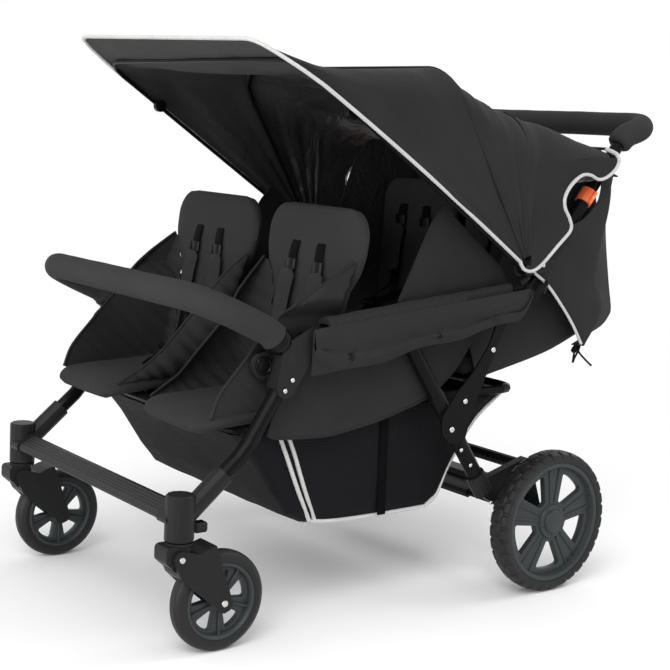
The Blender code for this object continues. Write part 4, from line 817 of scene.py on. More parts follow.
def scallop_piping(side, sign):
    points = [at(sign * (CANOPY_X + 0.0012), p) for p in [(0.6365, 0.6690), (0.6480, 0.6560)] + SCALLOP]
    points.append(at(sign * (CANOPY_X - 0.012), (0.898, 0.884)))
    points.append(at(sign * (CANOPY_X - 0.040), (0.899, 0.892)))
    piping(f"piping_hood_rear_{side}", drawn(points, 90), 0.0044, PIPING, "handle", 12, 0.75)


both_sides(scallop_piping)
roof_edge = [at(x, (0.899, 0.8925)) for x in np.linspace(0.311, -0.311, 30)]
piping("piping_hood_roof", roof_edge, 0.0030, DARK_PIPING, "handle", 10)


# Rear body

def tub(name, under, rim, half, corner, bulge, look, inner, body, seed, thickness, columns):
    """A cloth tub: each row runs down one side wall, across and up the other.

    columns counts the points down a wall, round a corner and across.
    """
    rows = 70
    low = resample(flat(under), rows)
    top = resample(flat(rim), rows)
    made = []
    for foot, head in zip(low, top):
        drop = foot - head
        reach = max(0.2, 1 - corner / max(drop.length, corner * 1.3))
        line = []
        for k in range(columns[0]):
            s = k / (columns[0] - 1) * reach
            spot = head + drop * s
            x = half + bulge * sin(pi * min(1, s / reach)) + 0.0030 * crumple((spot.x, spot.y, 0.2), (12, 10, 1), seed)
            line.append((x, spot))
        for k in range(1, columns[1]):
            t = pi / 2 * k / columns[1]
            line.append((half - corner * (1 - cos(t)), head + drop * (reach + (1 - reach) * sin(t))))
        middle = columns[2] // 2
        for k in range(middle + 1):
            x = (half - corner) * (1 - k / middle)
            sag = 0.004 * (1 - (x / half) ** 2) + 0.0030 * crumple((x, foot.x, foot.y), (9, 12, 12), seed)
            line.append((x, foot + drop.normalized() * sag))
        made.append([at(x, spot) for x, spot in line + [(-x, spot) for x, spot in reversed(line[:-1])]])
    return sheet(name, made, look, body, thickness, inner)


BODY_UNDER = [(0.612, 0.425), (0.700, 0.444), (0.780, 0.462), (0.835, 0.478), (0.905, 0.506), (0.948, 0.524),
              (0.965, 0.540), (0.972, 0.556), (0.962, 0.610), (0.944, 0.683), (0.932, 0.745), (0.922, 0.797),
              (0.912, 0.838), (0.903, 0.872)]
body_sheet = tub("body_sheet", curve(flat(BODY_UNDER), 4),
                 [(0.585, 0.500), (0.610, 0.560), (0.645, 0.640), (0.680, 0.740), (0.710, 0.830), (0.750, 0.885),
                  (0.820, 0.890), (0.893, 0.878)], 0.2805, 0.026, 0.001, CLOTH, LINING_PAINTED_LIGHT, "handle", 2.0, 0.0024,
                 (16, 8, 30))
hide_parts("rear_body")

COVER_FRONT = [(0.842, 0.500), (0.815, 0.540), (0.774, 0.585), (0.735, 0.622), (0.702, 0.645), (0.700, 0.662),
               (0.735, 0.700), (0.764, 0.727), (0.790, 0.738), (0.818, 0.746), (0.846, 0.764), (0.868, 0.790),
               (0.872, 0.812), (0.873, 0.832), (0.886, 0.856)]
COVER_REAR = [(0.862, 0.488), (0.905, 0.506), (0.948, 0.524), (0.968, 0.543), (0.974, 0.560), (0.962, 0.610),
              (0.946, 0.683), (0.934, 0.745), (0.923, 0.797), (0.913, 0.838), (0.905, 0.868)]
HANDLE_LINE = (0.251, 0.320)


def body_cover(side, sign):
    """The side of the rear body that wraps outside the handle tube and ends at the scalloped piping."""
    inside = 0.2900
    outside = 0.3270

    def across(spot, share):
        line = (spot.y - RAIL_REAR[1]) * HANDLE_LINE[0] - (spot.x - RAIL_REAR[0]) * HANDLE_LINE[1]
        tent = exp(-(line / hypot(*HANDLE_LINE) / 0.060) ** 2)
        rear = min(1.0, (1 - share) * 3.0)
        x = inside + (outside - inside) * max(tent, rear * 0.96) + 0.0045 * sin(pi * share)
        x += 0.0024 * crumple((spot.x, spot.y, 0), (13, 9, 1), 4.0 + sign) * sin(pi * share) ** 0.5
        return x + 0.0030 * (1 - share)

    rows = hung_rows(drawn(flat(COVER_FRONT), 60), drawn(flat(COVER_REAR), 60), 26, sign, across)
    made = sheet(f"body_side_{side}", rows, CLOTH, "handle", 0.0018, LINING_PAINTED_LIGHT)
    low = [at(sign * 0.3318, p) for p in [(0.690, 0.652), (0.702, 0.643), (0.735, 0.622), (0.774, 0.585),
                                           (0.815, 0.540), (0.846, 0.497)]]
    piping(f"piping_body_{side}", drawn(low, 50), 0.0036, PIPING, "handle", 10, 0.8)
    tab = resample([at(sign * 0.318, (0.900, 0.846)), at(sign * 0.318, (0.925, 0.838))], 4)
    strap(f"tab_body_{side}", tab, 0.016, 0.003, "handle", (0, 0.3, 1))


both_sides(body_cover)
lip_rows = [[at(x, (0.8965, 0.8895)).lerp(at(x, (0.9095, 0.8580)), j / 7) for j in range(8)]
            for x in np.linspace(-0.300, 0.300, 40)]
lip = sheet("body_lip", lip_rows, CLOTH, "handle", 0.0018, smooth=40)


# Side panels and flaps

def flap_ring(station, phase):
    height = rail(station)
    share = (station - 0.245) / 0.407
    edge = 0.480 + 0.071 * share + 0.0036 * sin(station * 34)
    if station > 0.655:
        edge += (height - 0.004 - edge) * ((station - 0.655) / 0.035) ** 2.2
    ruffle = 0.0022 * crumple((station, 0, 0), (26, 1, 1), phase)
    bulge = 0.0045 + 0.0030 * crumple((station, 1, 0), (17, 1, 1), phase + 3)
    lift = 0.0045 * (1 - station) ** 2
    outside = 0.3304
    outer = [(outside + 0.0036, edge), (outside + 0.0060 + bulge * 0.6, edge + 0.006),
             (outside + 0.0064 + bulge, edge + 0.020), (outside + 0.0050 + ruffle, (edge + height) / 2 - 0.004),
             (outside + 0.0056 + ruffle + bulge * 0.6, (edge + height) / 2 + 0.016),
             (outside + 0.0050 + bulge * 0.6, height + 0.002), (outside + 0.0034, height + 0.0150 + lift)]
    inner = [(outside, height + 0.0130), (outside, height), (outside, (edge + height) / 2), (outside, edge + 0.004)]
    return outer, inner, height


SNAPS = ((0.247, 0.505), (0.452, 0.532), (0.600, 0.560))
SNAP_FACE = 0.3385
FLAP_START = 0.200  # in front of this station the flap keeps one section
FLAP_TIP = 0.245  # in front of this station its lower edge rises
FLAP_FACE = 0.3332  # least reach of its outer face
SKIRT_FACE = 0.2912
SKIRT_HEM_FACE = 0.2934
WALL_FACE = 0.2880


def stations(first, last, count):
    return [first + (last - first) * k / (count - 1) for k in range(count)]


def flap_rings(sign):
    """Rings of the flap that hangs outside the rail, drawn in towards its snaps."""
    rings = []
    for station in stations(0.166, 0.690, 110):
        outer, inner, height = flap_ring(max(station, FLAP_START), 2.0 * sign)
        if station < FLAP_TIP:
            raised = 0.034 * ((FLAP_TIP - station) / 0.079) ** 1.8
            outer = [(x, min(height + 0.006, y + raised)) for x, y in outer[:4]] + outer[4:]
        shift = station - max(station, FLAP_START)
        rings.append([])
        for p in curve(flat(outer + inner), 4, True):
            if p.x > 0.3327:
                pull = sum(exp(-hypot(station - a, p.y - b) / 0.045) * sin(5 * atan2(p.y - b, station - a))
                           for a, b in SNAPS)
                p.x += 0.0022 * pull + 0.0018 * crumple((station, p.y, 0), (20, 24, 1), 7.0 * sign)
                p.x = max(p.x, FLAP_FACE)
            rings[-1].append(at(sign * p.x, (station, p.y + shift * 0.113)))
    return rings


def roof_rings(sign):
    """Rings of the padded cover over the rail."""
    rings = []
    for station in stations(0.205, 0.652, 50):
        height = rail(station)
        lift = 0.0045 * (1 - station) ** 2
        wide = 0.3300 if station < 0.5295 else 0.3222
        puff = 0.0018 * crumple((station, 2, 0), (24, 1, 1), 5.0 * sign)
        outer = [(wide, height + 0.0155 + lift), (SIDE + 0.0075, height + 0.0272 + lift + puff),
                 (SIDE - 0.009, height + 0.0270 + lift + puff), (0.2888, height + 0.0150 + lift),
                 (0.2872, height), (0.2890, height - 0.0200)]
        inside = [(0.2926, height - 0.0200), (0.2926, height + 0.0100), (SIDE - 0.011, height + 0.0180),
                  (SIDE + 0.010, height + 0.0186), (wide, height + 0.0135)]
        dense = curve(flat(outer + inside), 3, True)
        rings.append([at(sign * p.x, (station, p.y)) for p in dense])
    return rings


SKIRT_TOP = [(0.150, 0.505), (0.190, 0.518), (0.247, 0.545), (0.350, 0.553), (0.455, 0.566), (0.560, 0.578),
             (0.610, 0.584)]
SKIRT_HEM = [(0.103, 0.3660), (0.122, 0.3570), (0.180, 0.3535), (0.245, 0.3530), (0.300, 0.3610), (0.361, 0.3720),
             (0.420, 0.3880), (0.462, 0.4000), (0.500, 0.4200), (0.545, 0.4580), (0.590, 0.5200)]


def side_panel(side, sign):
    """The flap, its padded roof over the rail, the skirt inside it and the snaps."""
    flap = finish(f"flap_{side}", *stacked(flap_rings(sign)), CLOTH, "seat_frame", smooth=55)
    roof = finish(f"flap_roof_{side}", *stacked(roof_rings(sign)), CLOTH, "seat_frame", smooth=55)
    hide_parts(f"side_panel_{side}")
    top = drawn(flat(SKIRT_TOP), 60, 4)
    low = drawn(flat(SKIRT_HEM), 60, 4)

    def across(spot, share):
        inward = min(1.0, max(0.0, (spot.x - 0.440) / 0.060))
        folds = (0.0026 - 0.0020 * inward) * crumple((spot.x, spot.y, 0), (15, 8, 1), 9.0 + sign)
        turned_up = 0.0016 * (1 - inward) if share > 0.90 else 0.0
        return SKIRT_FACE - 0.0016 * inward + folds * sin(pi * share) ** 0.5 + turned_up

    skirt = sheet(f"skirt_{side}", hung_rows(top, low, 24, sign, across), CLOTH, "seat_frame", 0.0030)
    hem = [at(sign * SKIRT_HEM_FACE, (p.x, p.y + 0.004)) for p in low[2:44]]
    piping(f"hem_skirt_{side}", hem, 0.0020, DARK_PIPING, "seat_frame")
    snap = [(0, 0.0030), (0.0040, 0.0030), (0.0052, 0.0022), (0.0062, 0.0024), (0.0074, 0.0010), (0.0076, -0.0030),
            (0, -0.0030)]
    for index, spot in enumerate(SNAPS[:2]):
        lathe(f"snap_{side}_{index}", snap, at(sign * SNAP_FACE, spot), (sign, 0, 0), BUCKLE, "seat_frame", 28)


both_sides(side_panel)


def inner_wall(side, sign):
    """The cloth wall inside the hood's side, from the rail's cover up to the hood."""
    peak = [(0.391, 0.594), (0.461, 0.738), (0.490, 0.774)]
    top = resample(flat(peak + [(0.532, 0.741), (0.590, 0.697), (0.648, 0.654), (0.668, 0.622)]), 60)
    low = resample(flat([(0.391, 0.590), (0.500, 0.603), (0.600, 0.614), (0.668, 0.612)]), 60)

    def across(spot, share):
        slack = sin(pi * share) ** 0.6
        folds = 0.0040 * crumple((spot.x + spot.y * 0.6, spot.y - spot.x * 0.4, 0), (16, 7, 1), 14.0 + sign)
        return WALL_FACE + 0.0020 * slack + folds * slack

    wall = sheet(f"wall_inner_{side}", hung_rows(top, low, 22, sign, across), CLOTH, None, 0.0018)
    hem = resample([at(sign * WALL_FACE, p) for p in peak], 30)
    for piece in (wall, piping(f"hem_wall_{side}", hem, 0.0022, DARK_PIPING)):
        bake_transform(piece)


both_sides(inner_wall)


# Seats

PAD_ACROSS = 34
PAD_ALONG = 60
SEAM_INSET = 0.0125


def pad(name, x0, spine, widths, thick, corner, crown, seed):
    """A padded board along a side-plane spine: crowned, with a bound edge.

    Returns the piece, a function that reads a spot and its normal off the spine, and the spine's length.
    """
    line = drawn(flat(spine), 160)
    length = path_length(line)

    def on(distance):
        place = min(max(distance / length, 0), 1) * 159
        k = min(158, int(place))
        heading = (line[min(159, k + 2)] - line[max(0, k - 1)]).normalized()
        return line[k].lerp(line[k + 1], place - k), Vector((-heading.y, heading.x, 0))

    verts = []
    index = {}
    for face in (1, -1):
        for i in range(PAD_ALONG + 1):
            v = 0.5 - 0.5 * cos(pi * i / PAD_ALONG)
            v = 0.35 * v + 0.65 * i / PAD_ALONG
            distance = v * length
            half = value_at(widths, v)
            for low, rc in ((distance, corner[0]), (length - distance, corner[1])):
                if low < rc:
                    half -= rc - sqrt(max(0, rc * rc - (rc - low) ** 2))
            centre, normal = on(distance)
            for j in range(PAD_ACROSS + 1):
                if face < 0 and (i in (0, PAD_ALONG) or j in (0, PAD_ACROSS)):
                    index[(face, i, j)] = index[(1, i, j)]
                    continue
                u = 2 * j / PAD_ACROSS - 1
                u = 0.6 * u + 0.4 * sin(pi / 2 * u)
                x = half * u
                edge = min(half - abs(x), distance, length - distance)
                rise = thick / 2 * sqrt(max(0.0, 1 - (1 - min(1, edge / (thick * 0.62))) ** 2))
                if face > 0:
                    rise += crown * min(1, edge / 0.05) ** 0.8
                    rise -= 0.0022 * exp(-((edge - SEAM_INSET) / 0.0022) ** 2)
                    rise += 0.0013 * crumple((x, distance, 0), (11, 11, 1), seed) * min(1, edge / 0.03)
                spot = centre + normal * rise * face
                index[(face, i, j)] = len(verts)
                verts.append(at(x0 + x, (spot.x, spot.y)))
    faces = []
    for face in (1, -1):
        for i in range(PAD_ALONG):
            for j in range(PAD_ACROSS):
                quad = [index[(face, i, j)], index[(face, i + 1, j)], index[(face, i + 1, j + 1)],
                        index[(face, i, j + 1)]]
                faces.append(tuple(quad if face > 0 else reversed(quad)))
    return finish(name, verts, faces, PAD, smooth=60), on, length


def soften(piece, cap):
    """Lets air pressure crown a pad with Blender's cloth, each point held to within cap of where it was."""
    rest = np.array([tuple(v.co) for v in piece.data.vertices])
    cloth = piece.modifiers.new("air", "CLOTH")
    cloth.settings.use_pressure = True
    cloth.settings.uniform_pressure_force = 4.0
    cloth.settings.effector_weights.gravity = 0.0
    cloth.settings.quality = 4
    cloth.settings.tension_stiffness = 25.0
    cloth.settings.bending_stiffness = 0.8
    frames = 20
    cloth.point_cache.frame_start = 1
    cloth.point_cache.frame_end = frames
    scene = bpy.context.scene
    for step in range(1, frames + 1):
        scene.frame_set(step)
    graph = bpy.context.evaluated_depsgraph_get()
    swollen = piece.evaluated_get(graph).data
    moved = np.array([tuple(v.co) for v in swollen.vertices])
    piece.modifiers.clear()
    shift = moved - rest
    size = np.linalg.norm(shift, axis=1, keepdims=True)
    shift = shift * np.minimum(1.0, cap / np.maximum(size, 1e-9))
    placed = rest + np.nan_to_num(shift)
    piece.data.vertices.foreach_set("co", placed.astype(np.float32).ravel())
    piece.data.update()
    scene.frame_set(1)


FRONT_PIVOT = (0.252, 0.433872)
REAR_PIVOT = (0.793, 0.531150)
FRONT_SEAT_X = 0.172
REAR_SEAT_X = 0.140
BELOW_PIVOT = 0.014
FRONT_BACK_LENGTH = 0.349
FRONT_LEAN = pi / 2 - radians(6.5)
REAR_LEAN = pi / 2 - radians(2.5)
FRONT_BACK_HALF = [(0, 0.1065), (0.46, 0.1100), (0.56, 0.1180), (0.66, 0.1410), (0.76, 0.150), (1, 0.150)]


def seat_piece(kind, name, x0, spine, widths, thick, corner, crown, seed, cap, body):
    """A seat's pan or back: its pad, what it stands for and the body that it rides on."""
    made, on, length = pad(f"pad_{kind}_{name}", x0, spine, widths, thick, corner, crown, seed)
    soften(made, cap)
    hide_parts(f"seat_{kind}_{name}")
    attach(made, body)
    return on, length


def front_seat(side, sign):
    name = f"front_{side}"
    x0 = FRONT_SEAT_X * sign
    spine = [(-0.0235, 0.3735), (-0.0130, 0.3850), (0.0080, 0.3925), (0.045, 0.3961), (0.115, 0.4011),
             (0.200, 0.4072), (0.286, 0.4133)]
    widths = [(0, 0.120), (0.34, 0.120), (0.50, 0.1130), (0.62, 0.1085), (1, 0.1085)]
    on, length = seat_piece("pan", name, x0, spine, widths, 0.0205, (0.048, 0.012), 0.0018, 1.0 + sign, 0.0028,
                            "seat_frame")
    spine = [polar(FRONT_PIVOT, FRONT_LEAN, d) for d in (-BELOW_PIVOT, 0.08, 0.16, 0.25, 0.335)]
    on_back, tall = seat_piece("back", name, x0, spine, FRONT_BACK_HALF, 0.0235, (0.015, 0.058), 0.0015, 2.0 + sign,
                               0.0030, f"front_back_{side}")
    harness(name, x0, on_back, tall, on, 0.655 * length, f"front_back_{side}", "seat_frame", 0.0165)


def rear_seat(side, sign):
    name = f"rear_{side}"
    x0 = REAR_SEAT_X * sign
    spine = [(s, 0.425 + 0.047 * (s - 0.612) / 0.208 + 0.0062 + 0.0259) for s in (0.585, 0.640, 0.700, 0.760, 0.822)]
    on, length = seat_piece("pan", name, x0, spine, [(0, 0.126), (1, 0.128)], 0.044, (0.030, 0.012), 0.0015,
                            5.0 + sign, 0.0030, "handle")
    spine = [polar(REAR_PIVOT, REAR_LEAN, d) for d in (-BELOW_PIVOT, 0.07, 0.14, 0.21, 0.275)]
    on_back, tall = seat_piece("back", name, x0, spine, [(0, 0.125), (1, 0.128)], 0.0235, (0.015, 0.055), 0.0015,
                               6.0 + sign, 0.0030, f"rear_back_{side}")
    harness(name, x0, on_back, tall, on, 0.42 * length, f"rear_back_{side}", "handle", 0.0285)


def wing(side, sign, out):
    """A gathered cloth web between a front seat's back and its pan, with a bound free edge."""
    outer = out == sign
    face = Vector((-sin(FRONT_LEAN), cos(FRONT_LEAN), 0)) * 0.011
    high = 0.232 if outer else 0.215
    held = [Vector((*polar(FRONT_PIVOT, FRONT_LEAN, d), 0)) + face for d in (high, 0.16, 0.10, 0.05, 0.012)]
    held += flat([(0.222, 0.4170), (0.165, 0.4110), (0.105, 0.4070), (0.040, 0.4030), (0.004, 0.4000)])
    count = 90
    held = drawn(held, count)
    line = [(0.203, 0.600), (0.163, 0.545), (0.105, 0.482), (0.060, 0.440), (0.000, 0.4035)]
    if outer:
        line = [(0.1655, 0.6084), (0.1091, 0.5557), (0.0537, 0.4944), (0.0110, 0.4450), (-0.006, 0.4035)]
    free = drawn(flat([(held[0].x - 0.004, held[0].y + 0.006)] + line), count, 8)
    rows = []
    for i in range(count):
        u = i / (count - 1)
        half = 0.141 - 0.0330 * min(1, u / 0.42) ** 0.8
        on_back = hypot(held[i].x - FRONT_PIVOT[0], held[i].y - FRONT_PIVOT[1]) + BELOW_PIVOT
        held_half = 0.1045
        if held[i].x > 0.236:
            held_half = value_at(FRONT_BACK_HALF, on_back / FRONT_BACK_LENGTH) - 0.011
        span = (free[i] - held[i]).length
        pleat = sin(2 * pi * (u * 13 + 0.5 * noise.noise(Vector((u * 6, 3.0, out)))))
        rows.append([])
        for j in range(20):
            v = j / 19
            spot = held[i].lerp(free[i], v)
            belly = 0.026 * sin(pi * v) ** 0.8 * min(1, span / 0.10) + 0.010 * v * min(1, span / 0.08)
            gather = 0.0050 * pleat * (1 - v) ** 0.7 * min(1, span / 0.05)
            x = held_half + (half - held_half) * min(1, v * 2.5) + belly + gather
            x += 0.0030 * crumple((spot.x, spot.y, out), (18, 18, 1), 3.0 + sign)
            if outer:
                room = 0.1080 + 0.030 * min(1.0, max(0.0, (spot.y - 0.578) / 0.030))
                x = min(x, room + 0.0010 * gather / 0.005)
            rows[-1].append(at(FRONT_SEAT_X * sign + out * x, (spot.x, spot.y)))
    tag = f"{side}_{'outer' if outer else 'inner'}"
    web = sheet(f"wing_{tag}", rows, CLOTH, None, 0.0024, smooth=60)
    bound = piping(f"hem_wing_{tag}", resample([row[-1] for row in rows], 70), 0.0030, DARK_PIPING)
    for piece in (web, bound):
        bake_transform(piece)


def harness(name, x0, on_back, tall, on_pan, buckle_at, back_body, pan_body, pan_rise):
    """Two shoulder straps with pads and adjusters, a crotch strap, a buckle and two waist straps."""
    back_rise = 0.0175

    def above(on, x, distance, rise):
        spot, normal = on(distance)
        return at(x0 + x, spot + normal * rise)

    def back(*spots):
        return [above(on_back, x, distance, back_rise + rise) for x, distance, rise in spots]

    def pan(*spots):
        return [above(on_pan, x, buckle_at + distance, pan_rise + rise) for x, distance, rise in spots]

    slot_at = tall * 0.80
    top = tall * 0.655
    low = tall * 0.30
    buckle = pan((0, 0, 0.020))[0]
    normal = on_back(tall * 0.5)[1]
    face = Vector((0, normal.x, normal.y))

    def cushion_scale(share):
        return 0.55 + 0.45 * min(1, min(share, 1 - share) * 34 / 3) ** 0.5

    for tag, lean in (("a", 1), ("b", -1)):
        x = 0.039 * lean
        path = [above(on_back, x, slot_at, 0.006)]
        path += back((x, slot_at - 0.006, 0), (x * 1.04, (slot_at + top) / 2, 0.004), (x * 1.10, top, 0.004),
                     (x * 1.25, (top + low) / 2, 0.006), (x * 1.10, low, 0.012))
        strap(f"strap_{name}_{tag}", curve(path, 8), 0.024, 0.0018, back_body, face)
        strap(f"slot_{name}_{tag}", back((x - 0.016, slot_at + 0.001, -0.0028), (x + 0.016, slot_at + 0.001, -0.0028)),
              0.007, 0.0022, back_body, face, slot="snap_plastic")
        ladder = back((x * 1.07, top + 0.012, 0.0062), (x * 1.08, top - 0.008, 0.0062))
        strap(f"adjuster_{name}_{tag}", resample(ladder, 6), 0.032, 0.0046, back_body, face, BUCKLE)
        cushion = back((x * 1.10, top - 0.008, 0.008), (x * 1.25, top * 0.55 + low * 0.45, 0.010),
                       (x * 1.22, low + 0.02, 0.013), (x * 1.05, low - 0.01, 0.016))
        section = [(0.0215 * cos(2 * pi * k / 20), 0.0044 * sin(2 * pi * k / 20)) for k in range(20)]
        cover = finish(f"shoulder_{name}_{tag}", *sweep(drawn(cushion, 34, 10), section, cushion_scale, face),
                       PAD, back_body, smooth=60)
        lower = back((x * 1.05, low + 0.004, 0.012), (x * 0.9, low * 0.55, 0.022))
        lower += [buckle + Vector((x * 0.55, 0.014, 0.016)), buckle + Vector((x * 0.25, 0.002, 0.004))]
        hanging = strap(f"strap_low_{name}_{tag}", curve(lower, 8), 0.020, 0.0018, None, face)
        tuple(back((0, low, 0))[0])
        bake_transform(hanging)
        waist = [buckle + Vector((lean * 0.010, 0.004, -0.002)), buckle + Vector((lean * 0.045, 0.020, -0.006))]
        waist += pan((lean * 0.085, 0.055, 0.006), (lean * 0.100, 0.090, 0.002))
        strap(f"waist_{name}_{tag}", curve(waist, 8), 0.020, 0.0018, pan_body, (0, 0.5, 1))
    crotch = pan((0, -0.060, -0.004), (0, -0.050, 0.003), (0, -0.030, 0.012)) + [buckle + Vector((0, -0.006, 0))]
    strap(f"crotch_{name}", curve(crotch, 8), 0.026, 0.0022, pan_body, (0, 0.2, 1))
    outline = [(-0.019, -0.020), (0.019, -0.020), (0.022, 0), (0.017, 0.020), (-0.017, 0.020), (-0.022, 0)]
    shell = rounded(flat(outline), [0.008] * 6, 4, True)
    tilt = Matrix.Translation(buckle) @ Matrix.Rotation(radians(-38), 4, "X")
    rings = [[tilt @ Vector((p.x * scale, p.y * scale, height - 0.006)) for p in shell]
             for height, scale in ((0.0, 0.90), (0.0020, 1.0), (0.0090, 1.0), (0.0120, 0.90), (0.0128, 0.60))]
    finish(f"buckle_{name}", *stacked(rings), BUCKLE, pan_body, smooth=35)
    button = [(0, 0.0092), (0.0050, 0.0092), (0.0070, 0.0084), (0.0074, 0.0060), (0.0090, 0.0060),
              (0.0094, 0.0040), (0, 0.0040)]
    lathe(f"buckle_button_{name}", button, buckle, (0, 0.62, 0.79), BUCKLE, pan_body, 28)


both_sides(front_seat)
both_sides(rear_seat)
for side, sign in SIDES:
    wing(side, sign, 1)
    wing(side, sign, -1)


# Basket

BASKET_UNDER = [(0.0657, 0.3620), (0.085, 0.3400), (0.108, 0.3120), (0.160, 0.2350), (0.190, 0.2000),
                (0.225, 0.1815), (0.280, 0.1755), (0.350, 0.1735), (0.440, 0.1735), (0.512, 0.1745),
                (0.544, 0.1950), (0.572, 0.2500), (0.632, 0.3350), (0.709, 0.3940)]
BASKET_RIM = [(0.0700, 0.3680), (0.240, 0.3760), (0.450, 0.3860), (0.700, 0.3960)]
basket_sheet = tub("basket_net", BASKET_UNDER, BASKET_RIM, 0.2610, 0.022, 0.0030, NET, NET, "seat_frame", 6.0, 0.0016,
                   (18, 6, 24))
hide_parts("basket")


def basket_trim(side, sign):
    wall = sign * 0.2655
    corner = sign * 0.2580
    low = [at(corner, p) for p in [(0.232, 0.1855), (0.280, 0.1800), (0.350, 0.1780), (0.440, 0.1780),
                                   (0.512, 0.1790)]]
    front = [at(wall, p) for p in [(0.146, 0.3640), (0.166, 0.3200), (0.194, 0.2550)]]
    front_b = [at(wall, p) for p in [(0.164, 0.3640), (0.184, 0.3200), (0.209, 0.2550)]]
    front.append(at(corner, (0.230, 0.1870)))
    front_b.append(at(corner, (0.243, 0.1850)))
    rear = [at(corner, p) for p in [(0.512, 0.1790), (0.541, 0.1990), (0.568, 0.2540)]]
    rear += [at(sign * 0.2600, p) for p in [(0.627, 0.3400), (0.700, 0.3950)]]
    for tag, path, radius in (("low", low, 0.0038), ("front", front, 0.0040), ("front_b", front_b, 0.0040),
                              ("rear", rear, 0.0032)):
        piping(f"piping_basket_{tag}_{side}", drawn(path, 46), radius, PIPING, "seat_frame", 10)
    down = [at(sign * 0.2660, p) for p in [(0.393, 0.3760), (0.393, 0.3000), (0.395, 0.2300), (0.396, 0.1790)]]
    strap(f"strap_basket_{side}", drawn(down, 40), 0.020, 0.0022, "seat_frame", ACROSS)


both_sides(basket_trim)
x_edge = np.linspace(0.255, -0.255, 40)
piping("piping_basket_front_fold", [at(x, (0.2250, 0.1805)) for x in x_edge], 0.0022, PIPING, "seat_frame")
piping("piping_basket_rear_edge", [at(x, (0.7085, 0.3965)) for x in x_edge], 0.0030, PIPING, "seat_frame", 10)


# Rivets, sockets and small parts

RIVETS = {
    "front_legs": [((-0.053, 0.263), 0.0135, 0.0042), ((0.128, 0.470), 0.0185, 0.0045),
                   ((0.113, 0.452), 0.0185, 0.0045)],
    "handle": [((0.605, 0.497), 0.0174, 0.0055), ((0.540, 0.400), 0.0174, 0.0055),
               ((0.510, 0.347), 0.0174, 0.0060), ((0.720, 0.660), 0.0238, 0.0042)],
    "rear_legs": [((0.568, 0.270), 0.0135, 0.0042), ((0.541, 0.303), 0.0135, 0.0042),
                  ((0.629, 0.188), 0.0150, 0.0042)],
}
BOLTS = [("bolt_front_wheel", "fork", FRONT_HUB, 0.0265, 0.0066, 0.0032),
         ("bolt_fork", "fork", (-0.088, 0.180), 0.0268, 0.0058, 0.0028),
         ("stud_slider", "release_slider", along(RAIL_REAR, KNEE, 0.247), 0.0205, 0.0034, 0.0018)]


def small_parts(side, sign):
    outward = (sign, 0, 0)
    for body, spots in RIVETS.items():
        group = joined(f"rivets_{body}_{side}", [rivet(at(sign * (SIDE + out), spot), outward, radius, 0.0026)
                                                 for spot, out, radius in spots])
        shade(group)
        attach(group, body)
    cap = [(0, 0.0030), (0.0080, 0.0030), (0.0096, 0.0018), (0.0120, 0.0018), (0.0136, 0.0034), (0.0158, 0.0034),
           (0.0172, 0.0018), (0.0172, -0.0010), (0, -0.0010)]
    for tag, x, way in (("in", 0.2900, -1), ("out", 0.2961, 1)):
        lathe(f"cap_hub_{tag}_{side}", cap, at(sign * x, (0.088, 0.4930)), (sign * way, 0, 0), BUCKLE,
              "front_legs", 40, "moulded_black")
    for tag, spot, tilt in (("a", (0.664, 0.634), 0.5), ("b", (0.722, 0.618), 1.1)):
        clip = [at(sign * 0.3395, polar(spot, tilt, d)) for d in (-0.013, -0.004, 0.004, 0.013)]
        strap(f"clip_{tag}_{side}", resample(clip, 8), 0.013, 0.0055, "handle", ACROSS, BUCKLE)
    for name, body, spot, out, radius, height in BOLTS:
        bolt = rivet(at(sign * (SIDE + out), spot), outward, radius, height, name=f"{name}_{side}")
        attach(bolt, f"{body}_{side}")


both_sides(small_parts)

loop = curve([at(0.262, (0.905, 0.508)), at(0.268, (0.912, 0.480)), at(0.262, (0.905, 0.452)),
              at(0.252, (0.912, 0.442)), at(0.246, (0.920, 0.456)), at(0.254, (0.916, 0.476)),
              at(0.262, (0.920, 0.462)), at(0.270, (0.934, 0.446)), at(0.276, (0.944, 0.436))], 8)
tube("tie_loop", loop, 0.0022, CORD, "handle", 10)
lathe("tie_toggle", [(0, 0.014), (0.0050, 0.0125), (0.0066, 0.008), (0.0066, -0.008), (0.0050, -0.0125), (0, -0.014)],
      at(0.256, (0.914, 0.474)), (0.2, 0.5, 0.8), BUCKLE, "handle", 24)


# Finishes of the rigid solids that stay

def smooth_nodes():
    """Shades a solid smooth except along its sharp edges."""
    group = bpy.data.node_groups.new("smooth_by_angle", "GeometryNodeTree")
    group.interface.new_socket("Geometry", in_out="INPUT", socket_type="NodeSocketGeometry")
    group.interface.new_socket("Geometry", in_out="OUTPUT", socket_type="NodeSocketGeometry")
    start = group.nodes.new("NodeGroupInput")
    end = group.nodes.new("NodeGroupOutput")
    faces = group.nodes.new("GeometryNodeSetShadeSmooth")
    edges = group.nodes.new("GeometryNodeSetShadeSmooth")
    edges.domain = "EDGE"
    edges.inputs["Shade Smooth"].default_value = False
    angle = group.nodes.new("GeometryNodeInputMeshEdgeAngle")
    wide = group.nodes.new("FunctionNodeCompare")
    wide.data_type = "FLOAT"
    wide.operation = "GREATER_THAN"
    wide.inputs["B"].default_value = radians(50)
    group.links.new(start.outputs[0], faces.inputs["Geometry"])
    group.links.new(faces.outputs[0], edges.inputs["Geometry"])
    group.links.new(angle.outputs["Unsigned Angle"], wide.inputs["A"])
    group.links.new(wide.outputs[0], edges.inputs["Selection"])
    group.links.new(edges.outputs[0], end.inputs[0])
    return group


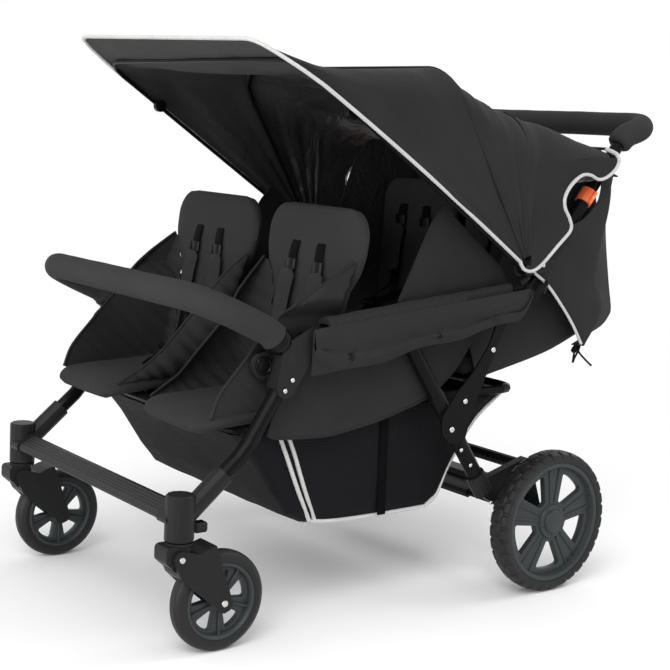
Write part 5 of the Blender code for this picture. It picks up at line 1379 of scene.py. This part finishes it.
SMOOTH = smooth_nodes()
KEPT = {
    PAINT: ["seat_rail", "front_leg", "rear_leg", "link_plate", "seat_base_tube", "seat_cross_tube", "basket_bar",
            "hood_front_bow", "hood_mid_bow", "rear_axle", "rear_cross_tube"],
    MOULDED: ["caster_housing", "caster_yoke", "front_fork", "leg_bracket", "wheel_bracket", "hood_clamp",
              "swivel_lock", "brake_pedal"],
    FOOT: ["front_crossbar"],
    ORANGE: ["release_slider"],
}
for name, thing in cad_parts.items():
    for look, starts in KEPT.items():
        if thing.hide_render or not name.startswith(tuple(starts)):
            continue
        for slot in thing.material_slots:
            slot.material = look
        edge = thing.modifiers.new("edges", "BEVEL")
        edge.width = 0.0007
        edge.segments = 2
        edge.limit_method = "ANGLE"
        edge.angle_limit = radians(38)
        edge.harden_normals = False
        thing.modifiers.new("smooth", "NODES").node_group = SMOOTH
        thing.modifiers.new("normals", "WEIGHTED_NORMAL").keep_sharp = True


# Floor, light and camera

def seen_directly(tree):
    """1 for rays from the camera and off a glossy surface, else 0."""
    rays = node(tree, "LightPath")
    return node(tree, "Math", {0: rays.outputs["Is Camera Ray"], 1: rays.outputs["Is Glossy Ray"]},
                operation="MAXIMUM").outputs[0]


def stage():
    """A pale floor that keeps the shadow near the stroller and runs out to white round it."""
    mesh = bpy.data.meshes.new("floor")
    mesh.from_pydata([(-30, -30, 0), (30, -30, 0), (30, 30, 0), (-30, 30, 0)], [], [(0, 1, 2, 3)])
    floor = put("floor", mesh)
    made = bpy.data.materials.new("floor_pale")
    made.use_nodes = True
    tree = made.node_tree
    shader = tree.nodes["Principled BSDF"]
    place = node(tree, "TexCoord").outputs["Object"]
    cloud = node(tree, "TexNoise", {"Vector": place}, Scale=2.0, Detail=2.0)
    tree.links.new(ramp(tree, cloud.outputs["Fac"], [0.93] * 3, [0.95] * 3), shader.inputs["Base Color"])
    shader.inputs["Roughness"].default_value = 0.9
    shader.inputs["Specular IOR Level"].default_value = 0.1
    reach = node(tree, "VectorMath", {0: place}, operation="LENGTH")
    away = node(tree, "MapRange", {"Value": reach.outputs["Value"]}, interpolation_type="SMOOTHSTEP",
                From_Min=0.60, From_Max=1.60)
    share = node(tree, "Math", {0: seen_directly(tree), 1: away.outputs["Result"]}, operation="MULTIPLY")
    white = node(tree, "Emission", Color=(1, 1, 1, 1), Strength=1.0)
    mix = node(tree, "MixShader", {0: share.outputs[0], 1: shader.outputs[0], 2: white.outputs[0]})
    tree.links.new(mix.outputs[0], tree.nodes["Material Output"].inputs["Surface"])
    mesh.materials.append(made)


def lamp(name, place, target, size, power):
    data = bpy.data.lights.new(name, "AREA")
    data.shape = "RECTANGLE"
    data.size, data.size_y = size
    data.energy = power
    made = put(name, data)
    made.location = place
    made.rotation_euler = (Vector(target) - Vector(place)).to_track_quat("-Z", "Y").to_euler()


stage()
lamp("key", (3.0, -3.4, 4.2), (0, 0, 0.4), (3.0, 3.0), 170)
lamp("fill", (0.2, -4.6, 1.0), (0, 0, 0.7), (2.6, 1.6), 75)
lamp("back", (1.0, 4.0, 4.0), (0, 0, 0.6), (3.0, 2.0), 80)
world = bpy.data.worlds.new("studio")
bpy.context.scene.world = world
world.use_nodes = True
tree = world.node_tree
tree.nodes.clear()
sky = node(tree, "Background", Color=(1, 1, 1, 1), Strength=0.76)
white = node(tree, "Background", Color=(1, 1, 1, 1), Strength=1.0)
mix = node(tree, "MixShader", {0: seen_directly(tree), 1: sky.outputs[0], 2: white.outputs[0]})
node(tree, "OutputWorld", {"Surface": mix.outputs[0]})

CAMERA = (2.2771, -1.7480, 0.9063)
AZIMUTH = 0.917
ELEVATION = 0.1459
ROLL = 0.0498
FOCAL = 75.4
forward = Vector((-sin(AZIMUTH) * cos(ELEVATION), cos(AZIMUTH) * cos(ELEVATION), -sin(ELEVATION)))
right = forward.cross(Vector((0, 0, 1))).normalized()
over = right.cross(forward)
turned_right = right * cos(ROLL) + over * sin(ROLL)
turned_over = over * cos(ROLL) - right * sin(ROLL)
camera_data = bpy.data.cameras.new("camera")
camera_data.sensor_width = 36.0
camera_data.lens = FOCAL
camera_data.clip_end = 60.0
camera = put("camera", camera_data)
basis = Matrix((turned_right, turned_over, -forward)).transposed().to_4x4()
camera.matrix_world = Matrix.Translation(CAMERA) @ basis
bpy.context.scene.camera = camera
bpy.context.scene.view_settings.view_transform = "Standard"
